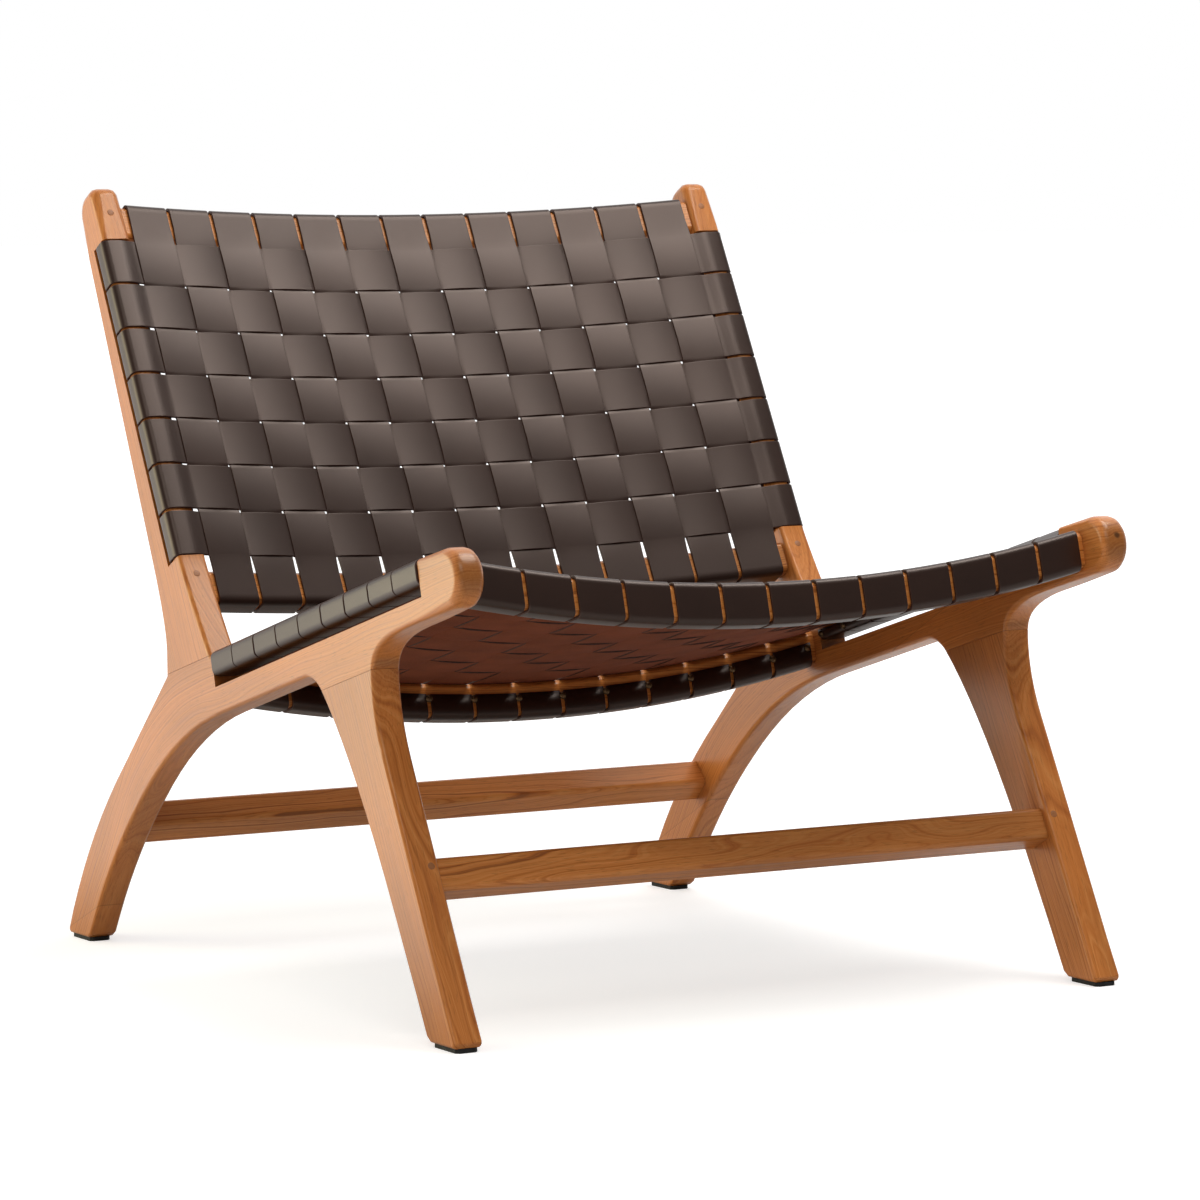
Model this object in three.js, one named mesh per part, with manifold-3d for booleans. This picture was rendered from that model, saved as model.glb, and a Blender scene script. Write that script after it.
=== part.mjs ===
import * as THREE from "three";
import { mergeVertices } from "three/addons/utils/BufferGeometryUtils.js";
import Module from "manifold-3d";

const kernel = await Module();
kernel.setup();
const { Manifold, Mesh } = kernel;

// Sizes are in millimetres and degrees. The chair faces -Y and its glides stand on z = 0.
// The seat line runs along the tops of the side rails, just under their crowned horns and bars, and
// the back line is the front edge of the back uprights. The crook is where the two lines cross.

const WIDTH = 660; // over the outer faces of the two side frames
const FRAME_THICKNESS = 27;
const CROOK_HEIGHT = 287.8;
const SEAT_PITCH = 14.8; // rise of the seat line towards the front
const BACK_LEAN = 28.4; // lean of the back line from upright

const JOINT_GAP = 0.3; // between fitted pieces of wood
const STRAP_FIT = 0.3; // between a strap and the wood it wraps
const WEAVE_FIT = 0.3; // between two straps where they cross

const STRAP_THICKNESS = 2;
const COLUMNS = 13;
const COLUMN_GAP = 3.5; // between neighbouring lengthwise straps
const SIDE_MARGIN = 5.75; // between a side frame and the nearest lengthwise strap

const SEAT_ROWS = 9;
const SEAT_ROW_GAP = 2.6; // between neighbouring crosswise straps
const SEAT_START = 19.4; // crook to the rear end of the seat slot
const SEAT_FIELD = 414; // length of the seat slot
const SEAT_DROP = 6; // the weave lies this far under the seat line beside the rails
const SEAT_SAG = 32; // and this much deeper in the middle
const SEAT_CROWN = 2.5; // horns and wrapped bars stand this far above the seat line
const SEAT_BAR_DEPTH = 18;
const SEAT_SLOT_CLEARANCE = 9.3; // open light between the straps and the far wall of the slot

const BACK_ROWS = 7;
const BACK_ROW_GAP = 3.5;
const BACK_START = 101.7; // crook to the lower end of the back slot
const BACK_FIELD = 322;
const BACK_DROP = 3;
const BACK_SAG = 26;
const BACK_BAR_DEPTH = 16;
const BACK_SLOT_CLEARANCE = 4;

const BAR_EASE = 4; // easing of the slotted bars' edges
const BAR_EASE_WIDE = 12; // wider easing where the straps leave a bar for the weave
const BAR_LIP = 1; // the eased edge ends this far under the weave
const STRAP_PROUD = 1.5; // wrapped straps stand this far out of a side frame's outer face

const SEAT_RAIL_THICKNESS = 22;
const FRONT_RAIL_DEPTH = 31.5;
const REAR_RAIL_DEPTH = 31;
const SEAT_RAIL_SETBACK = 12; // slot end to the nearer face of a seat cross rail
const TOP_RAIL_HEIGHT = 34;
const TOP_RAIL_SETBACK = 3;
const LOWER_RAIL_HEIGHT = 31.5;
const LOWER_RAIL_SETBACK = 12.5;
const BACK_RAIL_DEPTH = 22;
const RAIL_EASE = 4;
const RAIL_STATIONS = 16; // straight steps along a bowed rail
const SEAT_TAIL_TOP = 12; // a seat strap's tail ends this far under the weave
const BACK_TAIL_INSET = 5; // a back strap's tail ends this far from the rail's inner edge

const TENON_LENGTH = 18;
const TENON_SHOULDER = 5;
const LOOSE_DEPTH = 0.5; // room behind a tenon
const FRAME_TENON_THICKNESS = 9;
const FRAME_TENON_LENGTH = 22;
const UPRIGHT_TENON_FROM = 32; // behind the crook
const UPRIGHT_TENON_WIDTH = 38;
const FRONT_TENON_FROM = 255; // ahead of the crook
const FRONT_TENON_WIDTH = 42;

const EDGE_EASE = 4; // rounding of the side frames' edges
const HORN_EASE = 8; // rounder on the horns and on the tops of the uprights
const FOOT_EDGE_EASE = 2.5; // and less round at the feet
const FOOT_EDGE_HEIGHT = 60; // the feet's rounding ends at this height
const EASE_STEPS = 3;
const LONGEST_EDGE = 40; // longer straight edges are split, so that the rounding can change along them
const HORN_OVERHANG = 32.5; // horn nose ahead of the front seat rail
const HORN_DEPTH = 50.5;
const HORN_NECK_AIM = 7; // the curve from the front leg up into the horn aims here
const HORN_NECK_REACH = 66; // and ends here, both ahead of the front leg's front edge
const SIDE_RAIL_DEPTH = 54; // side rail between the legs
const FRONT_LEG_JOINT = 70; // glue line of the front leg under the seat line
const FRONT_LEG_AT = 328; // front edge of the front leg at that glue line
const FRONT_LEG_TOP_WIDTH = 103;
const FRONT_LEG_LEAN = 28.1;
const FRONT_BEND_DROP = 76; // the front edge bends between this far under the glue line and it
const FRONT_FOOT_REACH = 475.5; // foot's front edge ahead of the crook
const FRONT_FOOT_LENGTH = 48.7;
const FRONT_KNEE_HEIGHT = 104.5; // where the front leg's rear edge turns straight
const FRONT_KNEE_SHIFT = 62.8;
const CROTCH_LEAD = 28; // the side rail's underside turns down this far behind the front leg
const CROTCH_AIM = 12;
const CROTCH_DROP = 15;
const SHIN_AIM = 42; // the rear edge curves from the crotch to the knee towards this point
const SHIN_AIM_DROP = 80;
const REAR_FOOT_REACH = 314.3; // foot's rear edge behind the crook
const REAR_FOOT_LENGTH = 50;
const REAR_BEND_FROM = 196.6; // start of the rear leg's bend, behind the crook and under it
const REAR_BEND_DROP = 59.4;
const REAR_BEND_AIM = 309.3;
const REAR_BEND_AIM_DROP = 113.5;
const ARCH_LOW_AIM = 252; // arch under the side rail, behind the crook and under the rail
const ARCH_LOW_AIM_DROP = 86;
const ARCH_MIDDLE = 174.5;
const ARCH_MIDDLE_DROP = 48.6;
const ARCH_HIGH_AIM = 79;
const ARCH_END = 22; // ahead of the crook
const FOOT_EASE = 4;

const UPRIGHT_LENGTH = 480; // crook to the top, along the back line
const UPRIGHT_TOP_DEPTH = 39.5;
const UPRIGHT_WAIST = 113; // from here down the rear edge curves to upright
const UPRIGHT_WAIST_DEPTH = 56.5;
const UPRIGHT_TOP_FRONT_RADIUS = 11;
const UPRIGHT_TOP_REAR_RADIUS = 20;
const UPRIGHT_TOE = 15; // the upright's foot ends this far ahead of the crook
const UPRIGHT_HEEL = 82; // and this far behind it
const UPRIGHT_HEEL_RISE = 21;
const UPRIGHT_FLARE = 97; // the front edge flares below this height
const UPRIGHT_BULGE = 3;
const CURVE_STEPS = 9;

const STRETCHER_SIZE = 29.5;
const STRETCHER_EASE = 3;
const FRONT_STRETCHER_HEIGHT = 130.8;
const FRONT_STRETCHER_INSET = 21; // its centre behind the front leg's front edge
const REAR_STRETCHER_AT = 0.3; // share of the rear leg's curved rear edge
const REAR_STRETCHER_INSET = 20;

const GLIDE_HEIGHT = 4;
const GLIDE_INSET = 3.3;
const GLIDE_CORNER = 3;
const STUD_RADIUS = 3;
const STUD_LENGTH = 14;

const WOOD = { color: 0xb9783f, roughness: 0.45, metalness: 0 };
const LEATHER = { color: 0x3b2d28, roughness: 0.5, metalness: 0 };
const RUBBER = { color: 0x17171a, roughness: 0.7, metalness: 0 };

const INNER = WIDTH / 2 - FRAME_THICKNESS; // inner face of a side frame
const OUTER = WIDTH / 2;
const MIDDLE = (INNER + OUTER) / 2;
const DELTA = STRAP_FIT + STRAP_THICKNESS / 2; // wood surface to the middle of a strap
const LAYER = (STRAP_THICKNESS + WEAVE_FIT) / 2; // strap middle above or below the weave
const LEAD = 0.375; // share of a gap in which a strap stays flat past the one it crosses
const COLUMN_PITCH = (2 * INNER - 2 * SIDE_MARGIN + COLUMN_GAP) / COLUMNS;
const OFFSET_CORNER = 2 - Math.SQRT2; // how an eased corner grows when it is offset
const FAR = 1000;

const PITCH = THREE.MathUtils.degToRad(SEAT_PITCH);
const LEAN = THREE.MathUtils.degToRad(BACK_LEAN);

// The horn's nose and the rear foot are the ends of the part, and y = 0 is midway between them.
const HORN_RADIUS = HORN_DEPTH / 2;
const SEAT_END = SEAT_START + SEAT_FIELD;
const FRONT_RAIL_FACE = SEAT_END + SEAT_RAIL_SETBACK + SEAT_RAIL_THICKNESS;
const HORN_CENTRE = FRONT_RAIL_FACE + HORN_OVERHANG - HORN_RADIUS;
const HORN_MIDDLE = SEAT_CROWN - HORN_RADIUS;
const NOSE_REACH = HORN_CENTRE * Math.cos(PITCH) - HORN_MIDDLE * Math.sin(PITCH) + HORN_RADIUS;
const REAR_REACH = REAR_FOOT_REACH - FOOT_EASE / 2;
const CROOK_Y = (NOSE_REACH - REAR_REACH) / 2;

const FRONT_FOOT = CROOK_Y - FRONT_FOOT_REACH;
const FRONT_FOOT_BACK = FRONT_FOOT + FRONT_FOOT_LENGTH;
const REAR_FOOT = CROOK_Y + REAR_FOOT_REACH;
const REAR_FOOT_FRONT = REAR_FOOT - REAR_FOOT_LENGTH;

// Points of the side view, as (y, z). Forward runs along the seat line from the crook to the
// front, up runs along the back line, and rise is square to that line, towards the sitter.
function seatPoint(forward, rise) {
  return new THREE.Vector2(
    CROOK_Y - forward * Math.cos(PITCH) + rise * Math.sin(PITCH),
    CROOK_HEIGHT + forward * Math.sin(PITCH) + rise * Math.cos(PITCH),
  );
}

function backPoint(up, rise) {
  return new THREE.Vector2(
    CROOK_Y + up * Math.sin(LEAN) - rise * Math.cos(LEAN),
    CROOK_HEIGHT + up * Math.cos(LEAN) + rise * Math.sin(LEAN),
  );
}

// Each panel has its own frame: x across, r along the panel and n out of it. On the seat r runs
// to the rear, and on the back it runs up.
const seat = {
  name: "seat",
  frame: new THREE.Matrix4().makeRotationX(-PITCH).setPosition(0, CROOK_Y, CROOK_HEIGHT),
  from: -SEAT_END,
  field: SEAT_FIELD,
  rows: SEAT_ROWS,
  gap: SEAT_ROW_GAP,
  crown: SEAT_CROWN,
  drop: SEAT_DROP,
  sag: SEAT_SAG,
  bar: SEAT_BAR_DEPTH,
  slot: STRAP_FIT + STRAP_THICKNESS + SEAT_SLOT_CLEARANCE,
  first: 0,
  tailBehind: false,
  rails: [
    { r0: -FRONT_RAIL_FACE, r1: -SEAT_END - SEAT_RAIL_SETBACK, depth: FRONT_RAIL_DEPTH },
    {
      r0: -SEAT_START + SEAT_RAIL_SETBACK,
      r1: -SEAT_START + SEAT_RAIL_SETBACK + SEAT_RAIL_THICKNESS,
      depth: REAR_RAIL_DEPTH,
    },
  ],
};

const BACK_END = BACK_START + BACK_FIELD;
const back = {
  name: "back",
  frame: new THREE.Matrix4().makeRotationX(Math.PI / 2 - LEAN).setPosition(0, CROOK_Y, CROOK_HEIGHT),
  from: BACK_START,
  field: BACK_FIELD,
  rows: BACK_ROWS,
  gap: BACK_ROW_GAP,
  crown: 0,
  drop: BACK_DROP,
  sag: BACK_SAG,
  bar: BACK_BAR_DEPTH,
  slot: STRAP_FIT + STRAP_THICKNESS + BACK_SLOT_CLEARANCE,
  first: 0,
  tailBehind: true,
  rails: [
    {
      r0: BACK_START - LOWER_RAIL_SETBACK - LOWER_RAIL_HEIGHT,
      r1: BACK_START - LOWER_RAIL_SETBACK,
      depth: BACK_RAIL_DEPTH,
    },
    {
      r0: BACK_END + TOP_RAIL_SETBACK,
      r1: BACK_END + TOP_RAIL_SETBACK + TOP_RAIL_HEIGHT,
      depth: BACK_RAIL_DEPTH,
    },
  ],
};

// Middle of the weave at a place across the panel, and its slope there.
function weave(panel, x) {
  return -STRAP_THICKNESS / 2 - panel.drop - panel.sag * (1 - (x / INNER) ** 2);
}

function weaveSlope(panel, x) {
  return (2 * panel.sag * x) / INNER ** 2;
}

function columnX(column) {
  return (column - (COLUMNS - 1) / 2) * COLUMN_PITCH;
}

// A lengthwise strap is flat across, so it bridges the bow from edge to edge.
function strapMiddle(panel, x) {
  return weave(panel, x) + panel.sag * ((COLUMN_PITCH - COLUMN_GAP) / 2 / INNER) ** 2;
}

function rowR(panel, row) {
  return panel.from + (row + 0.5) * (panel.field / panel.rows);
}

function rowWidth(panel) {
  return panel.field / panel.rows - panel.gap;
}

// +1 where the lengthwise strap lies over the crosswise one.
function over(panel, column, row) {
  return (column + row + panel.first) % 2 === 0 ? 1 : -1;
}

function toSolid(geometry) {
  const bare = new THREE.BufferGeometry();
  bare.setAttribute("position", geometry.getAttribute("position"));
  bare.setIndex(geometry.getIndex());
  const welded = mergeVertices(bare, 1e-4);
  return new Manifold(
    new Mesh({
      numProp: 3,
      vertProperties: new Float32Array(welded.getAttribute("position").array),
      triVerts: new Uint32Array(welded.getIndex().array),
    }),
  );
}

function toGeometry(solid) {
  const mesh = solid.getMesh();
  const geometry = new THREE.BufferGeometry();
  geometry.setAttribute("position", new THREE.BufferAttribute(mesh.vertProperties, 3));
  geometry.setIndex(new THREE.BufferAttribute(mesh.triVerts, 1));
  geometry.computeVertexNormals();
  return geometry;
}

function named(name, solid, finish) {
  const material = new THREE.MeshStandardMaterial(finish);
  const geometry = solid.isBufferGeometry ? solid : toGeometry(solid);
  const mesh = new THREE.Mesh(geometry, material);
  mesh.name = name;
  return mesh;
}

function box(frame, x0, x1, r0, r1, n0, n1) {
  return Manifold.cube([x1 - x0, r1 - r0, n1 - n0])
    .translate([x0, r0, n0])
    .transform(frame.elements);
}

// A straight prism: an outline in the (y, z) plane, drawn out along x.
const ALONG_X = new THREE.Matrix4().makeBasis(
  new THREE.Vector3(0, 1, 0),
  new THREE.Vector3(0, 0, 1),
  new THREE.Vector3(1, 0, 0),
);

function prismAlongX(shape, x0, x1) {
  const geometry = new THREE.ExtrudeGeometry(shape, { depth: x1 - x0, bevelEnabled: false });
  geometry.translate(0, 0, x0);
  geometry.applyMatrix4(ALONG_X);
  return toSolid(geometry);
}

// A closed solid between rings of points, each with the same count. Ring after ring goes along
// x, the points go round anticlockwise as seen from +x, and the caps close the two ends.
function toRings(positions, count, caps) {
  const faces = [];
  const last = positions.length / 3 - count;
  for (let from = 0; from < last; from += count) {
    for (let i = 0; i < count; i += 1) {
      const a = from + i;
      const b = from + ((i + 1) % count);
      faces.push(a, b, b + count, a, b + count, a + count);
    }
  }
  for (const [a, b, c] of caps) faces.push(a, c, b, last + a, last + b, last + c);
  const geometry = new THREE.BufferGeometry();
  geometry.setAttribute("position", new THREE.Float32BufferAttribute(positions, 3));
  geometry.setIndex(faces);
  return geometry;
}

// A prism along x with rounded edges. Each point of the outline has its own radius there.
function roundedPrism(shape, easeAt, x0, x1) {
  const corners = shape.getPoints(CURVE_STEPS);
  if (THREE.ShapeUtils.isClockWise(corners)) corners.reverse();
  const outline = corners.flatMap((point, i) => {
    const next = corners[(i + 1) % corners.length];
    const parts = Math.ceil(point.distanceTo(next) / LONGEST_EDGE);
    return Array.from({ length: parts }, (_, k) => point.clone().lerp(next, k / parts));
  });
  const count = outline.length;
  const eases = outline.map(easeAt);
  const inset = (i, by) => {
    const point = outline[i];
    const into = point.clone().sub(outline[(i + count - 1) % count]).normalize();
    const out = outline[(i + 1) % count].clone().sub(point).normalize();
    const inward = new THREE.Vector2(-into.y - out.y, into.x + out.x);
    return point.clone().addScaledVector(inward, by / (1 + into.dot(out)));
  };
  const positions = [];
  const ring = (step, side) => {
    const turn = (step / EASE_STEPS) * (Math.PI / 2);
    for (let i = 0; i < count; i += 1) {
      const point = inset(i, eases[i] * (1 - Math.sin(turn)));
      const depth = eases[i] * (1 - Math.cos(turn));
      positions.push(side > 0 ? x1 - depth : x0 + depth, point.x, point.y);
    }
  };
  for (let step = 0; step <= EASE_STEPS; step += 1) ring(step, -1);
  for (let step = EASE_STEPS; step >= 0; step -= 1) ring(step, 1);
  const flat = outline.map((point, i) => inset(i, eases[i]));
  return toSolid(toRings(positions, count, THREE.ShapeUtils.triangulateShape(flat, [])));
}

function easedRectangle(x0, x1, y0, y1, ease) {
  return new THREE.Shape([
    new THREE.Vector2(x0 + ease, y0),
    new THREE.Vector2(x1 - ease, y0),
    new THREE.Vector2(x1, y0 + ease),
    new THREE.Vector2(x1, y1 - ease),
    new THREE.Vector2(x1 - ease, y1),
    new THREE.Vector2(x0 + ease, y1),
    new THREE.Vector2(x0, y1 - ease),
    new THREE.Vector2(x0, y0 + ease),
  ]);
}

const REAR_LEG_TOP = seatPoint(-UPRIGHT_HEEL, 0);
const REAR_CURVE = new THREE.QuadraticBezierCurve(
  seatPoint(-REAR_BEND_FROM, -REAR_BEND_DROP),
  seatPoint(-REAR_BEND_AIM, -REAR_BEND_AIM_DROP),
  new THREE.Vector2(REAR_FOOT, GLIDE_HEIGHT),
);

// Outline of a whole side frame, before it is parted into side rail, upright and front leg.
function sideOutline() {
  const shape = new THREE.Shape();
  const line = (p) => shape.lineTo(p.x, p.y);
  const bend = (c, p) => shape.quadraticCurveTo(c.x, c.y, p.x, p.y);
  const slant = Math.tan(THREE.MathUtils.degToRad(FRONT_LEG_LEAN));
  const low = GLIDE_HEIGHT;
  const turn = Math.PI / 2;

  // Front leg's front edge, from the foot to the underside of the horn.
  const legFront = seatPoint(FRONT_LEG_AT, -FRONT_LEG_JOINT);
  const bendHeight = seatPoint(FRONT_LEG_AT, -FRONT_LEG_JOINT - FRONT_BEND_DROP).y;
  const bendStart = new THREE.Vector2(FRONT_FOOT + slant * (bendHeight - low), bendHeight);
  const aim = new THREE.Vector2(legFront.x, bendHeight + (legFront.x - bendStart.x) / slant);
  shape.moveTo(FRONT_FOOT + FOOT_EASE, low);
  shape.lineTo(FRONT_FOOT + slant * FOOT_EASE, low + FOOT_EASE);
  line(bendStart);
  bend(aim, legFront);
  const underHorn = SEAT_CROWN - HORN_DEPTH;
  bend(
    seatPoint(FRONT_LEG_AT + HORN_NECK_AIM, underHorn),
    seatPoint(FRONT_LEG_AT + HORN_NECK_REACH, underHorn),
  );

  // Round nose, then back along the seat line.
  const nose = seatPoint(HORN_CENTRE, HORN_MIDDLE);
  shape.absarc(nose.x, nose.y, HORN_RADIUS, 3 * turn - PITCH, turn - PITCH, true);
  line(seatPoint(UPRIGHT_TOE, 0));

  // Upright: flared foot, straight front edge, rounded top, tapering rear edge.
  bend(backPoint(UPRIGHT_FLARE * 0.6, UPRIGHT_BULGE), backPoint(UPRIGHT_FLARE, 0));
  const frontRadius = UPRIGHT_TOP_FRONT_RADIUS;
  const rearRadius = UPRIGHT_TOP_REAR_RADIUS;
  const topFront = backPoint(UPRIGHT_LENGTH - frontRadius, -frontRadius);
  const topRear = backPoint(UPRIGHT_LENGTH - rearRadius, rearRadius - UPRIGHT_TOP_DEPTH);
  shape.absarc(topFront.x, topFront.y, frontRadius, 2 * turn - LEAN, turn - LEAN, true);
  shape.absarc(topRear.x, topRear.y, rearRadius, turn - LEAN, -LEAN, true);
  const waist = backPoint(UPRIGHT_WAIST, -UPRIGHT_WAIST_DEPTH);
  const heel = REAR_LEG_TOP;
  line(waist);
  bend(
    new THREE.Vector2(heel.x, heel.y + 2 * UPRIGHT_HEEL_RISE),
    new THREE.Vector2(heel.x, heel.y + UPRIGHT_HEEL_RISE),
  );
  line(heel);

  // Rear leg, down its rear edge and up the arch.
  line(REAR_CURVE.v0);
  bend(REAR_CURVE.v1, new THREE.Vector2(CROOK_Y + REAR_REACH, low + FOOT_EASE));
  shape.lineTo(REAR_FOOT - FOOT_EASE, low);
  shape.lineTo(REAR_FOOT_FRONT + FOOT_EASE, low);
  shape.lineTo(REAR_FOOT_FRONT - 0.7 * FOOT_EASE, low + FOOT_EASE);
  const under = -SIDE_RAIL_DEPTH;
  bend(
    seatPoint(-ARCH_LOW_AIM, under - ARCH_LOW_AIM_DROP),
    seatPoint(-ARCH_MIDDLE, under - ARCH_MIDDLE_DROP),
  );
  bend(seatPoint(-ARCH_HIGH_AIM, under), seatPoint(ARCH_END, under));

  // Along the side rail to the crotch, then down the front leg's rear edge.
  const crotch = FRONT_LEG_AT - FRONT_LEG_TOP_WIDTH;
  const knee = new THREE.Vector2(FRONT_FOOT_BACK + FRONT_KNEE_SHIFT, low + FRONT_KNEE_HEIGHT);
  line(seatPoint(crotch - CROTCH_LEAD, under));
  bend(seatPoint(crotch - CROTCH_AIM, under), seatPoint(crotch, under - CROTCH_DROP));
  bend(seatPoint(crotch + SHIN_AIM, under - SHIN_AIM_DROP), knee);
  shape.lineTo(FRONT_FOOT_BACK + 0.6 * FOOT_EASE, low + FOOT_EASE);
  shape.lineTo(FRONT_FOOT_BACK - FOOT_EASE, low);
  return shape;
}

// Rounding of a side frame's edges at a point of its outline.
function frameEase(point) {
  const y = point.x - CROOK_Y;
  const z = point.y - CROOK_HEIGHT;
  const forward = z * Math.sin(PITCH) - y * Math.cos(PITCH);
  const up = z * Math.cos(LEAN) + y * Math.sin(LEAN);
  const horn = THREE.MathUtils.smoothstep(forward, SEAT_END, FRONT_RAIL_FACE);
  const top = THREE.MathUtils.smoothstep(up, BACK_END, BACK_END + TOP_RAIL_HEIGHT);
  const foot = THREE.MathUtils.smoothstep(point.y, GLIDE_HEIGHT, FOOT_EDGE_HEIGHT);
  const low = THREE.MathUtils.lerp(FOOT_EDGE_EASE, EDGE_EASE, foot);
  return THREE.MathUtils.lerp(low, HORN_EASE, Math.max(horn, top));
}

// The slotted bar that the cross straps wrap: its section in (x, n), and the cut around it.
function barSection(panel) {
  const top = panel.crown - STRAP_THICKNESS - STRAP_FIT;
  const bottom = top - panel.bar;
  const outside = OUTER + STRAP_PROUD - STRAP_THICKNESS - STRAP_FIT;
  return new THREE.Shape([
    new THREE.Vector2(INNER, bottom + BAR_EASE),
    new THREE.Vector2(INNER + BAR_EASE, bottom),
    new THREE.Vector2(outside - BAR_EASE, bottom),
    new THREE.Vector2(outside, bottom + BAR_EASE),
    new THREE.Vector2(outside, top - BAR_EASE),
    new THREE.Vector2(outside - BAR_EASE, top),
    new THREE.Vector2(INNER + BAR_EASE_WIDE, top),
    new THREE.Vector2(INNER, top - panel.crown - panel.drop - BAR_LIP),
  ]);
}

function slotted(solid, panel) {
  const bottom = panel.crown - STRAP_THICKNESS - STRAP_FIT - panel.bar - panel.slot;
  const end = panel.from + panel.field;
  const window = box(panel.frame, INNER - 1, OUTER + 1, panel.from, end, bottom, 20);
  const bite = 2;
  const geometry = new THREE.ExtrudeGeometry(barSection(panel), {
    depth: panel.field + 2 * bite,
    bevelEnabled: false,
  });
  geometry.applyMatrix4(crossways(end + bite));
  geometry.applyMatrix4(panel.frame);
  return solid.subtract(window).add(toSolid(geometry));
}

// Places a shape drawn in (x, n) so that it is drawn out against r, from the given r.
function crossways(r) {
  return new THREE.Matrix4()
    .makeBasis(new THREE.Vector3(1, 0, 0), new THREE.Vector3(0, 0, 1), new THREE.Vector3(0, -1, 0))
    .setPosition(0, r, 0);
}

// Rails across the chair, bowed with the weave, with a tenon at each end.
function railCentre(panel, rail) {
  return weave(panel, INNER) - DELTA - rail.depth / 2;
}

function railTenon(panel, rail, grow, from) {
  const n = railCentre(panel, rail);
  const half = rail.depth / 2 - TENON_SHOULDER + grow;
  const end = INNER + TENON_LENGTH + (grow > 0 ? LOOSE_DEPTH : 0);
  const r0 = rail.r0 + TENON_SHOULDER - grow;
  const r1 = rail.r1 - TENON_SHOULDER + grow;
  return box(panel.frame, from, end, r0, r1, n - half, n + half);
}

function bowedRail(panel, rail) {
  const corners = easedRectangle(rail.r0, rail.r1, -rail.depth, 0, RAIL_EASE).getPoints();
  const count = corners.length;
  const reach = INNER - JOINT_GAP;
  const positions = [];
  for (let step = 0; step <= RAIL_STATIONS; step += 1) {
    const x = -reach + (2 * reach * step) / RAIL_STATIONS;
    const top = weave(panel, x) - DELTA;
    for (const corner of corners) positions.push(x, corner.x, top + corner.y);
  }
  const geometry = toRings(positions, count, THREE.ShapeUtils.triangulateShape(corners, []));
  geometry.applyMatrix4(panel.frame);
  const tenon = railTenon(panel, rail, 0, reach - 2);
  return toSolid(geometry).add(tenon).add(tenon.mirror([1, 0, 0]));
}

// Stretchers are square, turned to lie with the leg they are let into.
function frontStretcherPlace() {
  const lean = THREE.MathUtils.degToRad(FRONT_LEG_LEAN);
  const height = FRONT_STRETCHER_HEIGHT;
  const edge = FRONT_FOOT + Math.tan(lean) * (height - GLIDE_HEIGHT);
  return { y: edge + FRONT_STRETCHER_INSET / Math.cos(lean), z: height, turn: -lean };
}

function rearStretcherPlace() {
  const edge = REAR_CURVE.getPoint(REAR_STRETCHER_AT);
  const along = REAR_CURVE.getTangent(REAR_STRETCHER_AT);
  return {
    y: edge.x + REAR_STRETCHER_INSET * along.y,
    z: edge.y - REAR_STRETCHER_INSET * along.x,
    turn: Math.atan2(along.x, -along.y),
  };
}

function stretcherFrame(place) {
  return new THREE.Matrix4().makeRotationX(place.turn).setPosition(0, place.y, place.z);
}

function stretcherTenon(place, grow, from) {
  const half = STRETCHER_SIZE / 2 - TENON_SHOULDER + grow;
  const end = INNER + TENON_LENGTH + (grow > 0 ? LOOSE_DEPTH : 0);
  return box(stretcherFrame(place), from, end, -half, half, -half, half);
}

function stretcher(place) {
  const half = STRETCHER_SIZE / 2;
  const reach = INNER - JOINT_GAP;
  const section = easedRectangle(-half, half, -half, half, STRETCHER_EASE);
  const body = prismAlongX(section, -reach, reach).transform(stretcherFrame(place).elements);
  const tenon = stretcherTenon(place, 0, reach - 2);
  return body.add(tenon).add(tenon.mirror([1, 0, 0]));
}

// Glides: a pad under each foot with a stud let into it.
function glidePad(y0, y1) {
  const x0 = INNER + GLIDE_INSET;
  const x1 = OUTER - GLIDE_INSET;
  const shape = easedRectangle(x0, x1, y0 + GLIDE_INSET, y1 - GLIDE_INSET, GLIDE_CORNER);
  const geometry = new THREE.ExtrudeGeometry(shape, {
    depth: GLIDE_HEIGHT - JOINT_GAP,
    bevelEnabled: false,
  });
  return toSolid(geometry).add(stud(y0, y1, 0, 1));
}

function stud(y0, y1, grow, from) {
  const radius = STUD_RADIUS + grow;
  const height = GLIDE_HEIGHT + STUD_LENGTH + (grow > 0 ? LOOSE_DEPTH : 0) - from;
  return Manifold.cylinder(height, radius, radius, 12).translate([MIDDLE, (y0 + y1) / 2, from]);
}

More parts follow.
